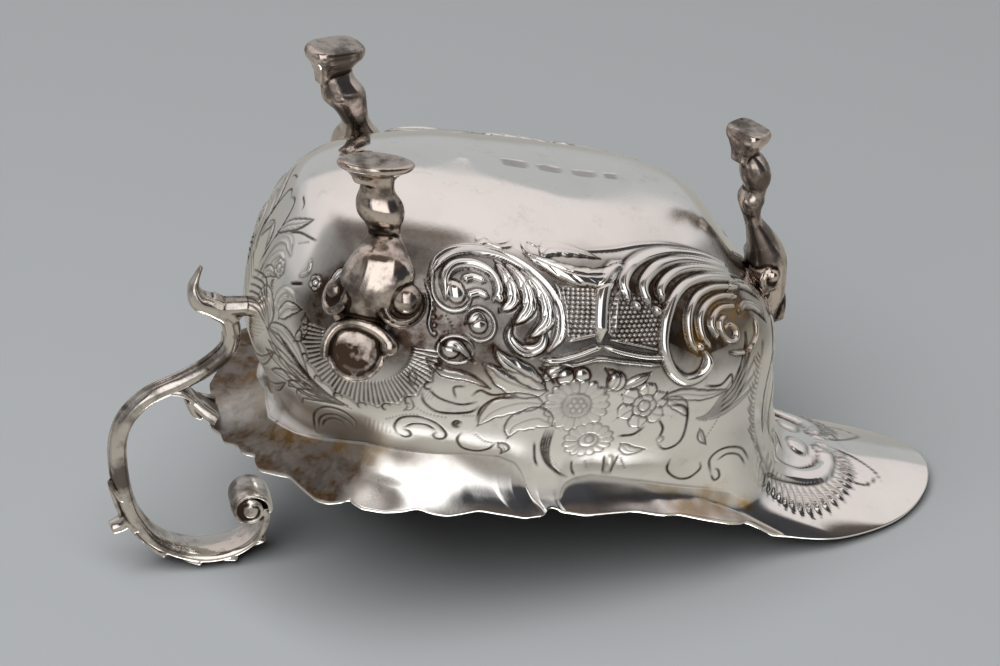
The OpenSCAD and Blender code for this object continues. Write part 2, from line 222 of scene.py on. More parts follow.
class Board:
    """Flat grid of relief heights (h) and dirt, drawn on with strokes."""

    def __init__(self, xs, ys):
        self.xs, self.ys = xs, ys
        self.h = np.zeros((len(ys), len(xs)), np.float32)
        self.dirt = np.zeros_like(self.h)

    def area(self, x0, y0, x1, y1):
        """The cells of a rectangle, and their places."""
        i0, i1 = np.searchsorted(self.xs, [x0, x1])
        j0, j1 = np.searchsorted(self.ys, [y0, y1])
        s = (slice(j0, max(j1, j0)), slice(i0, max(i1, i0)))
        X, Y = np.meshgrid(self.xs[s[1]], self.ys[s[0]])
        return s, X.astype(np.float32), Y.astype(np.float32)

    def along(self, pts, reach, closed=False):
        """The cells near a curve: their sideways distance, distance and share of its length."""
        pts = np.asarray(pts, float)
        if closed:
            pts = np.vstack([pts, pts[:1]])
        rough = np.linalg.norm(np.diff(pts, axis=0), axis=1).sum()
        m = int(max(12, rough / 0.14))
        c = curve(pts, m)
        d = unit(np.gradient(c, axis=0))
        length = np.r_[0, np.cumsum(np.linalg.norm(np.diff(c, axis=0), axis=1))]
        x0, y0 = c.min(0) - reach
        x1, y1 = c.max(0) + reach
        s, X, Y = self.area(x0, y0, x1, y1)
        G = np.stack([X.ravel(), Y.ravel()], 1)
        if not len(G):
            return s, X, X, X
        best = np.full(len(G), 1e9, np.float32)
        at = np.zeros(len(G), np.int32)
        cf = c.astype(np.float32)
        for k in range(0, m, 64):
            q = cf[k:k + 64]
            dd = ((G[:, None, :] - q[None]) ** 2).sum(-1)
            j = dd.argmin(1)
            v = dd[np.arange(len(G)), j]
            better = v < best
            best[better] = v[better]
            at[better] = j[better] + k
        off = G - c[at]
        side = d[at][:, 0] * off[:, 1] - d[at][:, 1] * off[:, 0]
        dist = np.sqrt(best)
        u = length[at] / length[-1]
        r = X.shape
        return s, side.reshape(r), dist.reshape(r), u.reshape(r)

    def ridge(self, pts, w=0.5, h=0.4, ends=0.15, closed=False, dirt=0.35):
        """Raised rounded line with dark edges."""
        s, _, dist, u = self.along(pts, w + 0.9, closed)
        t = 1.0 if closed else np.minimum(1, np.minimum(u, 1 - u) / ends + 0.25)
        ww = w * t
        v = np.clip(1 - (dist / ww) ** 2, 0, 1)
        self.h[s] = np.maximum(self.h[s], h * t * np.sqrt(v))
        edge = np.exp(-((dist - ww - 0.15) / 0.3) ** 2)
        self.dirt[s] = np.maximum(self.dirt[s], dirt * edge)

    def cut(self, pts, w=0.2, d=0.16, ends=0.2, dirt=1.0):
        """Engraved line."""
        s, _, dist, u = self.along(pts, w * 3 + 0.3)
        t = np.minimum(1, np.minimum(u, 1 - u) / ends + 0.3)
        g = np.exp(-(dist / (w * (0.6 + 0.4 * t))) ** 2)
        self.h[s] -= d * t * g
        self.dirt[s] = np.maximum(self.dirt[s], dirt * t * np.exp(-(dist / (w * 1.4)) ** 4))

    def band(self, pts, w=1.0, h=0.6, ends=0.12, dirt=0.45, hollow=0.5):
        """Scroll band: two raised edges and a hollow between them."""
        s, _, dist, u = self.along(pts, w + 1.0)
        t = np.minimum(1, np.minimum(u, 1 - u) / ends + 0.2)
        v = dist / (w * t)
        p = (1 - hollow + hollow * np.clip(v, 0, 1) ** 2) * (1 - smooth(v, 0.8, 1.08))
        self.h[s] = np.maximum(self.h[s], h * t * p)
        self.dirt[s] = np.maximum(self.dirt[s],
                                  dirt * np.exp(-((dist - w * t - 0.15) / 0.35) ** 2))
        self.dirt[s] = np.maximum(self.dirt[s], 0.3 * (v < 0.5) * hollow)

    def leaf(self, pts, w=2.0, h=0.5, veins=5, outline=0.14, full=0.42, teeth=0.1, dirt=0.85):
        """Leaf: a swelling along a curve with a middle groove, side veins and toothed edge."""
        s, side, dist, u = self.along(pts, w + 0.8)
        body = np.sin(np.pi * np.clip(u, 0, 1) ** (np.log(0.5) / np.log(full))) ** 0.75
        ww = w * np.maximum(body, 0.02) * (1 - teeth + teeth * np.abs(np.sin(np.pi * veins * u)))
        v = np.abs(side) / ww
        inside = (v < 1) & (dist < w + 0.1)
        lift = h * np.sqrt(np.clip(1 - v**2, 0, 1)) * body**0.5
        lift = lift - 0.3 * h * np.exp(-(side / 0.22) ** 2)
        if veins:
            lift = lift - 0.16 * h * (0.5 + 0.5 * np.cos(
                2 * np.pi * (veins * u - 0.9 * v))) ** 4 * smooth(v, 0.1, 0.4)
        self.h[s] = np.where(inside, np.maximum(self.h[s], lift), self.h[s])
        line = np.exp(-((np.abs(side) - ww) / 0.24) ** 4) * (dist < ww + 0.45)
        self.h[s] -= outline * line
        self.dirt[s] = np.maximum(self.dirt[s], dirt * line)
        self.dirt[s] = np.maximum(self.dirt[s], 0.5 * inside * np.exp(-(side / 0.2) ** 2))

    def ball(self, x, y, r=1.0, h=0.5, dirt=0.6):
        """Raised round bead with a dark edge."""
        s, X, Y = self.area(x - r - 1, y - r - 1, x + r + 1, y + r + 1)
        d = np.hypot(X - x, Y - y)
        self.h[s] = np.maximum(self.h[s], h * np.sqrt(np.clip(1 - (d / r) ** 2, 0, 1)))
        self.dirt[s] = np.maximum(self.dirt[s], dirt * np.exp(-((d - r - 0.1) / 0.28) ** 2))

    def flower(self, x, y, r=5.0, rc=2.0, n=14, h=0.35, turn=0.0, squash=1.0, dirt=0.7):
        """Open flower: ring of petals and a domed middle."""
        s, X, Y = self.area(x - r - 1, y - r - 1, x + r + 1, y + r + 1)
        dx, dy = X - x, (Y - y) / squash
        d = np.hypot(dx, dy)
        phi = np.arctan2(dy, dx) + turn
        edge = r * (0.88 + 0.12 * np.abs(np.cos(n * phi / 2)))
        q = d / edge
        petal = np.abs(np.cos(n * phi / 2))
        lift = h * (0.45 + 0.55 * petal**0.5) * np.sqrt(np.clip(1.02 - q**4, 0, 1))
        lift *= smooth(d, rc * 0.9, rc * 1.5) * 0.8 + 0.2
        inside = q < 1
        dome = 1.15 * h * np.sqrt(np.clip(1 - (d / rc) ** 2, 0, 1))
        self.h[s] = np.where(inside, np.maximum(lift, dome), self.h[s])
        gap = (1 - smooth(petal * d, 0.05, 0.45)) * (d > rc) * inside
        rim = np.exp(-((d - edge) / 0.22) ** 2)
        ring = np.exp(-((d - rc * 1.06) / 0.2) ** 2)
        self.h[s] -= 0.12 * rim + 0.1 * ring
        self.dirt[s] = np.where(inside, 0.1, self.dirt[s])
        self.dirt[s] = np.maximum(self.dirt[s], dirt * np.maximum(np.maximum(rim, ring), gap))

    def fan(self, x, y, r0, r1, a0, a1, n, h=0.3, dirt=0.75, shade=0.35, wavy=0.8):
        """Fluted rays round a point between two turns, in degrees."""
        s, X, Y = self.area(x - r1 - 1.5, y - r1 - 1.5, x + r1 + 1.5, y + r1 + 1.5)
        d = np.hypot(X - x, Y - y)
        phi = np.degrees(np.arctan2(Y - y, X - x)) % 360
        f = (phi - a0) / (a1 - a0)
        ok = (f > 0) & (f < 1)
        edge = r1 - wavy * np.abs(np.sin(np.pi * f * n / 4))
        w = smooth(d, r0, r0 + 0.8) * (1 - smooth(d, edge - 0.5, edge + 0.1)) * ok
        ray = np.cos(2 * np.pi * n * f)
        self.h[s] = np.maximum(self.h[s], w * h * (0.5 + 0.5 * ray) ** 0.8)
        self.dirt[s] = np.maximum(self.dirt[s], w * (shade + (dirt - shade) * (0.5 - 0.5 * ray)))
        self.dirt[s] = np.maximum(self.dirt[s], ok * 0.7 * np.exp(-((d - edge - 0.2) / 0.3) ** 2))

    def fill(self, poly):
        """Soft mask, 1 inside a polygon given anticlockwise."""
        P = np.asarray(poly, float)
        x0, y0 = P.min(0) - 1
        x1, y1 = P.max(0) + 1
        s, X, Y = self.area(x0, y0, x1, y1)
        inside = np.zeros(X.shape, bool)
        for (ax, ay), (bx, by) in zip(P, np.roll(P, -1, 0)):
            hit = ((ay > Y) != (by > Y)) & (X < (bx - ax) * (Y - ay) / (by - ay + 1e-9) + ax)
            inside ^= hit
        return s, X, Y, inside

    def panel(self, poly, lean=0.0, h=0.3, pitch=1.0, dirt=0.6):
        """Field of small raised studs set like bricks."""
        s, X, Y, inside = self.fill(poly)
        row = Y / (pitch * 0.8)
        col = (X + lean * Y) / pitch + 0.5 * (np.floor(row) % 2)
        fx, fy = col % 1 - 0.5, row % 1 - 0.5
        stud = np.sqrt(np.clip(1 - 3.6 * (fx**2 + fy**2), 0, 1))
        self.h[s] = np.where(inside, h * stud, self.h[s])
        self.dirt[s] = np.where(inside, dirt * (1 - 0.8 * stud), self.dirt[s])

    def shade(self, poly, amount):
        """Even dirt inside a polygon."""
        s, _, _, inside = self.fill(poly)
        self.dirt[s] = np.where(inside, np.maximum(self.dirt[s], amount), self.dirt[s])

    def dots(self, pts, gap=0.9, r=0.22, d=0.12, dirt=0.7):
        """Row of small punched dots along a curve."""
        pts = np.asarray(pts, float)
        c = curve(pts, 400)
        L = np.r_[0, np.cumsum(np.linalg.norm(np.diff(c, axis=0), axis=1))]
        for q in np.arange(0, L[-1], gap):
            x, y = np.interp(q, L, c[:, 0]), np.interp(q, L, c[:, 1])
            s, X, Y = self.area(x - 1, y - 1, x + 1, y + 1)
            g = np.exp(-((X - x) ** 2 + (Y - y) ** 2) / r**2)
            self.h[s] -= d * g
            self.dirt[s] = np.maximum(self.dirt[s], dirt * g)

    def hatch(self, poly, ax, ay, gap=0.7, d=0.1, dirt=0.6):
        """Parallel engraved shading strokes inside a polygon; (ax, ay) is their direction."""
        s, X, Y, inside = self.fill(poly)
        q = (-X * ay + Y * ax) / gap
        line = np.clip(np.cos(2 * np.pi * q), 0, 1) ** 3 * inside
        self.h[s] -= d * line
        self.dirt[s] = np.maximum(self.dirt[s], dirt * line)

    def read(self, x, y):
        """Height and dirt at points, smoothly between the cells."""
        fx = np.clip((x - self.xs[0]) / CELL, 0, len(self.xs) - 1.001)
        fy = np.clip((y - self.ys[0]) / CELL, 0, len(self.ys) - 1.001)
        i, j = fx.astype(int), fy.astype(int)
        u, v = fx - i, fy - j
        out = []
        for g in (self.h, self.dirt):
            out.append(g[j, i] * (1 - u) * (1 - v) + g[j, i + 1] * u * (1 - v)
                       + g[j + 1, i] * (1 - u) * v + g[j + 1, i + 1] * u * v)
        return out


def ring(x, y, rx, ry=None, a0=0, a1=360, n=16):
    """Points round an oval from turn a0 to a1, in degrees."""
    t = np.radians(np.linspace(a0, a1, n))
    return np.stack([x + rx * np.cos(t), y + (ry or rx) * np.sin(t)], 1)


def curl(x, y, r0, r1, a0, turns, n=14):
    """Spiral from radius r0 in to r1."""
    k = np.linspace(0, 1, n)
    t = np.radians(a0 + 360 * turns * k)
    r = r0 + (r1 - r0) * k
    return np.stack([x + r * np.cos(t), y + r * np.sin(t)], 1)


def ground_shading(B):
    """Shading of the ground, laid first so that later pieces sit on it."""
    B.shade([(40, 44), (40, 22), (48, 20), (50, 26), (49, 34), (47, 42), (50, 49), (44, 51)], 0.3)
    B.shade([(18, 28), (26, 16), (36, 12), (46, 14), (48, 24), (38, 36), (26, 40)], 0.35)
    B.shade([(50, 48.6), (56, 50.4), (75, 51.4), (92, 49), (92, 53), (50, 53)], 0.3)
    B.shade([(45, 22), (60, 24), (64, 34), (60, 37), (48, 40), (44, 34)], 0.3)
    B.shade([(62, 26), (72, 27), (73, 31), (66, 35)], 0.35)
    B.shade([(98, 27), (105, 28), (112, 27), (124, 30), (126, 38), (112, 42), (103, 37)], .55)
    B.dirt = blur(B.dirt, 11).astype(np.float32)


def knee_rays(B):
    """Rays round the knee of the leg."""
    B.fan(36, 27.5, 8.5, 14.6, 186, 392, 50, h=0.5, dirt=1.0, shade=.25)
    for k in range(11):
        t = np.radians(196 + 19 * k)
        x, y = 36 + 14.8 * np.cos(t), 27.5 + 14.8 * np.sin(t)
        B.cut(curl(x, y, 1.1, 0.5, 196 + 19 * k + 90, 0.75, 8), 0.2, 0.14)


def scroll_by_leg(B):
    """Large scroll beside the leg."""
    B.band([(47, 40.5), (49.5, 44), (54, 46.6), (60, 47.6), (66, 47), (71, 44.3), (74, 40.5),
            (74.8, 36), (73.8, 32), (71, 28.5)], 1.0, 0.75)
    B.ridge([(48.4, 43), (47.6, 39), (48.6, 36.4), (51.5, 35), (54.5, 35.6), (56.3, 37.6)], .5, .5)
    B.ridge([(50.6, 37), (50.8, 41), (53.4, 43.6), (58, 44.4), (61.6, 43), (62.6, 40),
             (61, 37.6)], 1.1, 1.0)
    B.ball(52.8, 38.6, 2.2, 1.0)
    B.ridge([(54.8, 41), (57.4, 41.8), (60, 41.2)], .7, .55)
    B.ridge([(55.2, 38), (58, 38.8), (60, 38.2)], .8, .6)
    B.leaf([(64, 45.4), (65.6, 41), (65, 37.6), (62, 35.6)], 1.7, 0.8, 4)
    B.leaf([(66, 45.4), (68.6, 41), (68.2, 36.6), (64.4, 33.2)], 1.8, 0.95, 4)
    B.leaf([(69, 44.4), (72, 39.6), (71.6, 34.4), (67, 30.8)], 1.8, 0.95, 4)
    B.leaf([(71, 33), (69.5, 29.6), (66, 28.6), (63.6, 31), (64.6, 34)], 1.3, 0.7, 3)
    B.ball(62.4, 38.2, 1.0, 0.7)


def buds_and_seeds(B):
    """Buds and seeds under the scroll beside the leg."""
    B.ridge(ring(57.6, 33, 3.1, 3.0, -140, 150), .38, .4)
    B.ball(57.3, 33.2, 1.9, 0.6)
    B.leaf([(55, 33), (57.2, 34.6), (59.4, 33.6)], .9, .6, 2)
    B.ridge(ring(53, 28, 3.5, 2.5, 10, 350), .4, .45)
    B.ball(52, 28, 1.8, 0.6)
    B.leaf([(50.4, 28.6), (53, 29), (56.5, 26)], 1.0, .55, 3)
    for k in range(7):
        B.ball(47.2 + .25 * k, 39.5 - 1.5 * k, .42, .3)
    B.ridge([(46, 40), (47.6, 36), (47.4, 32), (49, 29.6)], .3, .3)
    B.dots([(51, 34), (52.5, 31.5), (50.5, 31)], .7)
    B.leaf([(48, 25.5), (51, 23.4), (56, 22.6), (60, 20.6)], 1.0, .35, 5)
    B.leaf([(45.5, 23), (45.6, 20.6), (46.4, 20)], .8, .35, 0)
    B.leaf([(44.6, 17), (45.8, 15), (45, 14)], .8, .35, 0)


def diaper_panels(B):
    """Diaper panels between the scrolls, with their frame."""
    B.panel([(77, 41.2), (75.3, 31.2), (81, 32.3), (83, 36.5), (85.6, 41.2)], 0.14, 0.36, 1.15)
    B.panel([(88, 40.6), (84.6, 32.4), (85.6, 31), (95, 29.4), (97.6, 34), (100, 38), (94, 40)],
            -0.35, 0.36, 1.15, 0.95)
    B.ridge([(76.3, 42), (75.8, 38), (74.6, 33), (73.2, 29.8)], .42, .55)
    B.ridge([(77.4, 41.6), (76.8, 38), (75.7, 33), (75, 31)], .25, .35)
    B.ridge([(75, 30.7), (78.4, 31.4), (81.6, 32)], .4, .45)
    B.ridge([(69.5, 27), (73, 27.1), (77, 28.1), (80, 29.1), (82.4, 29.7)], .62, .75)
    B.ridge([(82.4, 29.7), (86, 28.5), (91, 27.4), (96, 27)], .55, .65)
    B.ridge([(70, 25.9), (76, 26.1), (81, 27.2), (86, 26.6), (95, 25.4)], .42, .4)
    B.ridge([(84.4, 31), (89, 29.9), (95, 28.4)], .35, .4)
    B.ridge([(96.6, 47.4), (91, 44.4), (86.4, 40), (83.4, 35), (82, 30.8)], 1.5, 0.85)
    B.ridge([(98, 45.4), (93, 42.4), (89, 38.4), (86.4, 34), (85.4, 31.6)], .5, .5)


def top_leafwork(B):
    """Wave of leafwork on top."""
    B.leaf([(72, 47.8), (76, 45.8), (82, 43.8), (89, 43.9), (96, 46.4)], 2.4, 0.85, 6)
    B.ridge([(73.6, 47), (72.8, 49.4), (74.6, 51.2), (76.6, 50)], .5, .5)
    B.leaf([(76, 47.4), (80, 49.8), (86, 49.6), (91, 48)], 1.9, .7, 5)
    B.ridge([(82, 48.6), (83.6, 50.8), (86.4, 51.2)], .45, .5)
    B.leaf([(60.4, 49.4), (63, 51.4), (66.4, 50.2), (71, 51.4)], 1.2, .5, 3)
    B.ridge([(61, 48.8), (63.6, 49.6), (66.6, 48.9), (70, 49.6)], .35, .35)


def crest_scroll(B):
    """Right-hand scroll: bold arcs that gather at one crest."""
    B.shade([(90, 38), (96, 37), (97, 30), (104, 26), (112, 27), (124, 35), (122, 43), (112, 47),
             (98, 45)], .55)
    B.ridge([(76, 50.4), (86, 49.8), (96, 50.2), (105, 51), (113, 50.2), (120, 46.8), (126.6, 41.4)],
            .45, .4)
    for pts, width, height in (
            ([(92, 38), (92.6, 42), (97, 45.8), (104, 48.4), (112, 48.6), (120, 45.6), (126.4, 40.8)],
             1.25, .85),
            ([(96.2, 36.8), (96.8, 40.8), (100, 43.6), (106, 46), (113, 46.2), (120, 43.8),
              (126.2, 39.8)], 1.2, .85),
            ([(100.4, 37.6), (101, 40.4), (104.6, 42.8), (109.6, 44.2), (115, 44), (121, 42),
              (126, 38.8)], 1.0, .8),
            ([(104.8, 28), (105.6, 25), (103.4, 22.2), (99.6, 21.8), (96.4, 24.6), (95.6, 29),
              (97.4, 33), (100.8, 36.6), (105, 39.6), (110, 41.4), (116, 41.6), (122, 40),
              (126.4, 37.8)], 1.1, .95),
            ([(103.6, 26.8), (102.4, 29.6), (103.6, 33.2), (106.6, 36.4), (110.8, 38.6), (116, 39.2),
              (121.6, 38), (125.6, 36.2)], .85, .75),
            ([(107.2, 27.4), (105.8, 30), (106.8, 33.2), (109.8, 35.6), (113.8, 36.9), (118, 36.8),
              (122.6, 35.2)], .8, .7),
            ([(109.8, 29), (109.4, 31.8), (111.6, 33.8), (115, 34.8), (119.4, 34)], .7, .65)):
        B.ridge(pts, width, height, .08, dirt=.9)
    for x, y, r in ((93, 37.6, 1.1), (97.4, 36.4, 1.1), (101.6, 37.4, 1.2), (104.2, 28.2, 1)):
        B.ball(x, y, r, .8, .9)
    B.ridge(curl(114, 29.8, 3.2, .8, 60, 1.3, 16), .6, .6)
    B.leaf([(120, 36), (124, 38), (129, 36), (132, 31)], 1.6, .6, 4)
    B.leaf([(119.6, 32), (123, 33.2), (127, 31), (129, 26.6)], 1.3, .5, 4)
    B.ridge([(112, 25.4), (117, 24.4), (122, 26.4), (124.4, 30)], .45, .4)


def flowers(B):
    """Flowers in the middle of the side."""
    B.leaf([(70, 22.6), (72, 24.6), (76, 25.2)], 1.3, .5, 2)
    B.ball(74.4, 23.6, 1.7, .6, .9)
    B.ball(77.6, 23.9, 1.6, .6, .9)
    B.ball(84.8, 22.6, 1.9, .55, .9)
    B.leaf([(83, 20.6), (84.4, 23.4), (82.6, 25.2)], 1.1, .45, 2)
    B.leaf([(86.4, 21.2), (90, 22.8), (92, 24)], 1.2, .4, 2)
    for k in range(6):
        t = np.radians(60 * k + 20)
        B.leaf([(91 + 1.4 * np.cos(t), 17 + 1.3 * np.sin(t)),
                (91 + 3.4 * np.cos(t), 17 + 3.1 * np.sin(t)),
                (91 + 5.4 * np.cos(t + .15), 17 + 4.9 * np.sin(t + .15))], 2.1, .5, 3, full=.6)
    B.flower(91.2, 17, 2.6, 1.2, 5, .5, dirt=.9)
    B.flower(77.3, 17.6, 6.6, 2.7, 18, .42, squash=.88)
    B.ridge(ring(77.3, 17.6, 2.7, 2.3), .28, .5, closed=False)
    for k in range(6):
        t = 2 * np.pi * k / 6
        B.ball(77.3 + 1.3 * np.cos(t), 17.6 + 1.1 * np.sin(t), .5, .62)
    B.ball(77.3, 17.6, .6, .66)
    B.flower(81, 9.4, 5.1, 1.9, 15, .34, squash=.82)
    B.ball(81, 9.8, .8, .5)


def flower_leaves(B):
    """Leaves round the flowers."""
    B.leaf([(71, 20.6), (67, 21.2), (62.6, 22.8), (58.6, 25.6)], 2.5, .45, 5)
    B.leaf([(70.6, 21), (66.6, 24), (62.4, 26.6), (60.6, 29)], 2.0, .5, 4)
    B.leaf([(70.6, 17.8), (66, 17.8), (61.4, 15.6), (59, 12)], 2.4, .42, 4)
    B.leaf([(73, 13), (70, 14.6), (66, 12.6), (65.4, 9.4)], 2.6, .45, 4)
    B.cut([(58.6, 13), (59, 16), (61.6, 18.4), (66, 19)], .24, .18)
    B.cut([(72.4, 22), (71, 24), (69, 25.4)], .24, .18)
    B.leaf([(96, 18), (99.4, 16.2), (101.4, 13.4)], 1.5, .35, 4)
    B.leaf([(95, 18.4), (99.6, 18.7), (105, 17.6), (111, 17.4)], 1.3, .3, 6)
    B.cut([(96, 16.6), (99.6, 16.2), (101.4, 14), (101.2, 9), (100, 6.6), (97.6, 5.8),
           (95.6, 7.6)], .26, .18)
    B.cut([(95, 13.4), (96.2, 11.2), (95.6, 9)], .24, .16)
    B.ball(96, 8.6, .6, .2)
    B.leaf([(88, 8), (90, 6.2), (93, 6.2)], 1.2, .3, 3)
    B.cut([(92, 12), (90, 10.4), (87, 10.2)], .26, .16)
    for k in range(5):
        B.leaf([(104 + .6 * k, 12.4 - .2 * k), (109 + .3 * k, 12 + 1.1 * k),
                (115, 13.6 + 1.9 * k), (120.6 - .5 * k, 16 + 3 * k)], .65, .25, 0, dirt=.5)
    for k in range(4):
        B.cut([(109, 12.5 + k), (113, 14 + 1.7 * k), (117, 18 + 2.6 * k)], .2, .14)
    B.cut([(105, 19.6), (109, 19), (112, 20.6), (112.4, 17)], .24, .14)
    B.dots([(106, 6), (108, 9), (110, 12)], .8)
    B.leaf([(105, 9.4), (105.6, 7.4), (107, 5.4)], .8, .25, 0)


def trailing_stems(B):
    """Trailing stems."""
    for k in range(4):
        B.cut([(73.6 - .5 * k, 12), (73.4 - .5 * k, 8), (74.8 - .2 * k, 3.5),
               (77.6 + .5 * k, .6 - .4 * k)], .2, .14)
    B.hatch([(73, 8), (75, 5), (79, 0), (77, 0), (73.6, 4)], .6, 1, .8)
    B.cut([(79, 4), (79.6, 1.6), (80.6, -.4)], .2, .1)
    B.dots([(82, 3.4), (83, .8)], .7)
    B.ridge([(86.6, 5), (87.2, 2), (87, -.4)], .5, .25)
    B.cut([(85.4, 5), (86, 2), (86.4, -.6)], .2, .14)
    B.cut([(88.2, 5), (88, 2), (87.8, -.6)], .2, .14)
    B.dots([(89, 4), (90.6, .6)], .7)
    B.cut([(70.4, 9), (71.4, 5), (72.4, 3)], .2, .12)


def lower_scrolls(B):
    """Engraved scrolls along the lower edge."""
    B.cut([(43.3, 7), (43, 9.6), (44.4, 11.9), (47.6, 12.7), (51, 11.6), (53, 9.2), (52.6, 7.6),
           (51.2, 7.4), (50.6, 8.4), (51.2, 9.4)], .22, .17)
    B.cut([(43.6, 7.2), (44.8, 6.6), (46, 7.4), (45.8, 8.6), (44.8, 9)], .22, .15)
    B.cut([(45, 9.6), (46.6, 10.8), (49, 11), (51, 9.9)], .2, .14)
    B.dots([(41.5, 11), (45, 12.8), (48, 13.3)], .7)
    B.hatch([(37, 6.5), (43, 7), (41, 10), (36.5, 10)], .3, 1, .9, .05, .35)
    B.cut([(34, 5.4), (34.8, 8), (32.6, 10), (29, 9.6), (26, 7.2), (23.6, 4), (21.8, .6),
           (22, -.9), (23.4, -.8)], .22, .17)
    B.cut([(33.4, 5), (33.4, 7.2), (31, 8.2), (28, 7), (25, 4), (23, .6)], .2, .14)
    B.cut([(31.6, 5.4), (31.4, 6.6), (29.4, 6.6), (26.6, 4.4), (24.4, 1.6)], .2, .14)
    B.cut([(56, 9.8), (55.4, 7.6), (56.8, 5.2), (60, 4.6), (62.4, 5.6), (63.2, 7.4)], .24, .16)
    B.dots([(59, 9.6), (60.6, 8), (63, 7.4)], .7)
    B.leaf([(64, 7.4), (65.6, 6.2), (65.4, 4.6)], .9, .25, 0)
    B.dots([(46.6, 15), (49, 13.8), (52.6, 13.3)], .7)
    B.dots([(56, 14), (58, 14.2)], .6)
    B.cut(ring(54.9, 11.9, .7, .7, 0, 330, 10), .3, .2)
    B.cut([(54.4, 11.4), (55.4, 12.4)], .3, .2)
    B.cut([(47.6, 18.6), (48.2, 16.4), (50.6, 14.6), (53.6, 14.4), (57, 15), (58.6, 16.4)], .24, .15)
    B.cut([(48.6, 19.4), (51, 17.6), (55, 16.6), (58, 17.4)], .2, .12)
    B.hatch([(47.4, 16.6), (50, 17), (49.6, 19.6), (47.2, 19.4)], .4, 1, .6, .08, .6)
    B.cut([(54, 18), (53.4, 20.2), (55.4, 20.6)], .2, .12)
    B.cut([(57, 18.8), (58.4, 20), (61, 19.2), (65, 20)], .22, .14)
    B.cut([(109, -3), (108.6, .4), (110.4, 2.4), (113.4, 2.6), (117, 1), (119.2, -2.4)], .24, .17)
    B.cut([(109, -3.2), (109.8, -4.8), (111, -4.2), (110.8, -2.6), (110, -2)], .22, .15)
    B.cut([(110.6, .2), (113, 1), (116, -.2), (118, -3)], .2, .13)
    B.cut([(99.6, 2.6), (99.4, -.6), (101.4, -3), (104, -3.3), (106.4, -1.4), (106.4, .4)], .22, .14)


def long_fronds(B):
    """Long fronds behind the leg."""
    for k, (x, y) in enumerate([(12.5, 19.6), (14, 17.4), (13.4, 15.2), (15, 11.4), (20, 10.4),
                                (22.4, 7.4)]):
        B.leaf([(33.4, 11.6), (28, 13.2 - .3 * k), ((x + 24) / 2, (y + 14.6 - .6 * k) / 2 + .6),
                (x, y)], 1.3, .3, 6, full=.6)
    B.leaf([(13, 20.4), (17, 21.4), (21, 20), (25, 16)], 1.4, .3, 4)
    for k in range(5):
        B.cut([(16 + 1.4 * k, 21 - .7 * k), (20 + 1.4 * k, 18.4 - .9 * k),
               (26 + k, 15 - .5 * k)], .18, .12)
    B.ridge([(13.4, 24.6), (13.6, 27.6), (15.4, 29.6), (18, 29.6), (19, 28.4)], .42, .4)
    B.ridge([(14.6, 25), (14.8, 27.4), (16.4, 28.6)], .3, .3)
    B.leaf([(15.6, 23.6), (17.4, 26.4), (20.6, 27.8)], 1.5, .5, 3)
    B.leaf([(21, 21.4), (22.6, 24.4), (21.8, 27.4)], 1.1, .45, 3)
    B.flower(22, 33.8, 1.6, .7, 5, .4)
    B.cut([(16, 31), (19, 32.4)], .25, .15)
    B.ridge([(17.6, 33.4), (19.2, 35), (18.6, 37)], .35, .3)
    B.leaf([(27.6, 38.4), (26.4, 36), (26.2, 33)], 1.4, .5, 2)


def scroll_by_handle(B):
    """Scroll beside the handle."""
    B.band([(3.2, 26), (4.4, 32), (6.2, 35.6), (9.6, 37), (12.4, 35.4)], .9, .5)
    B.ridge([(6, 27), (7, 31.6), (9.6, 34), (12, 33)], .5, .4)
    B.flower(11, 31.8, 1.9, .8, 6, .45)
    B.leaf([(6.2, 27.4), (8, 29.6), (11, 30)], 1.1, .4, 3)
    B.leaf([(4, 36), (6.4, 38.6), (10.4, 41), (14, 43.2)], 1.2, .4, 6)
    B.cut([(8, 38), (12, 39.8), (18, 40.6)], .2, .13)
    B.dots([(13, 38), (16, 39.6)], .6)
    B.cut([(0, 42), (2.4, 42.6), (3.8, 41), (4.2, 36), (3.6, 31), (2.6, 28)], .24, .16)
    B.cut([(5, 44.6), (7.6, 44), (8.2, 43)], .2, .12)
    B.leaf([(0, 36), (1.8, 33.6), (2.4, 31.4)], .9, .35, 2)
    for k in range(6):
        B.cut([(0, 17 + 1.6 * k), (4, 19.4 + 1.5 * k), (8, 20.6 + 1.4 * k), (12, 20 + .6 * k)],
              .2, .12)
    B.hatch([(0, 12), (9, 15), (12, 19), (6, 20), (0, 18)], 1, .5, .8, .08, .5)
    B.leaf([(7, 22), (9.4, 25.6), (12.6, 23.6), (13, 20)], 1.5, .4, 3)
    B.leaf([(0, 8), (6, 9), (12, 12), (16, 16)], 1.1, .25, 6)
    B.leaf([(0, 3), (8, 3.4), (14, 6.4), (19, 10.6)], 1.0, .25, 6)


def throat_line(B):
    """Feathered line down the throat."""
    B.ridge([(124, 24), (121, 16), (120, 9), (121.4, 2), (124, -5), (129, -12)], .45, .45)
    for k in range(30):
        u = k / 29
        x, y = np.interp(u, [0, .3, .6, 1], [122.6, 120.4, 121.6, 128]), 21 - 32 * u
        r = 1.5 + 1.3 * (k * 7 % 5) / 4
        B.cut([(x - .2, y), (x - .6 * r, y + .5 * r), (x - r, y + 1.2 * r)], .16, .12, .3, dirt=.75)
    B.leaf([(138, 20), (131, 17), (126.4, 10), (125, 2)], 1.8, .4, 7)
    B.leaf([(146, 8), (138, 9), (131, 6), (128, 0)], 1.7, .4, 6)
    B.leaf([(146, 26), (139, 25.6), (133, 22.6), (129.4, 17)], 1.6, .4, 5)
    B.cut([(140, 33), (137, 31), (134.4, 27), (135.6, 24)], .24, .16)
    B.dots([(130, 28), (133, 31), (136, 36)], .8)


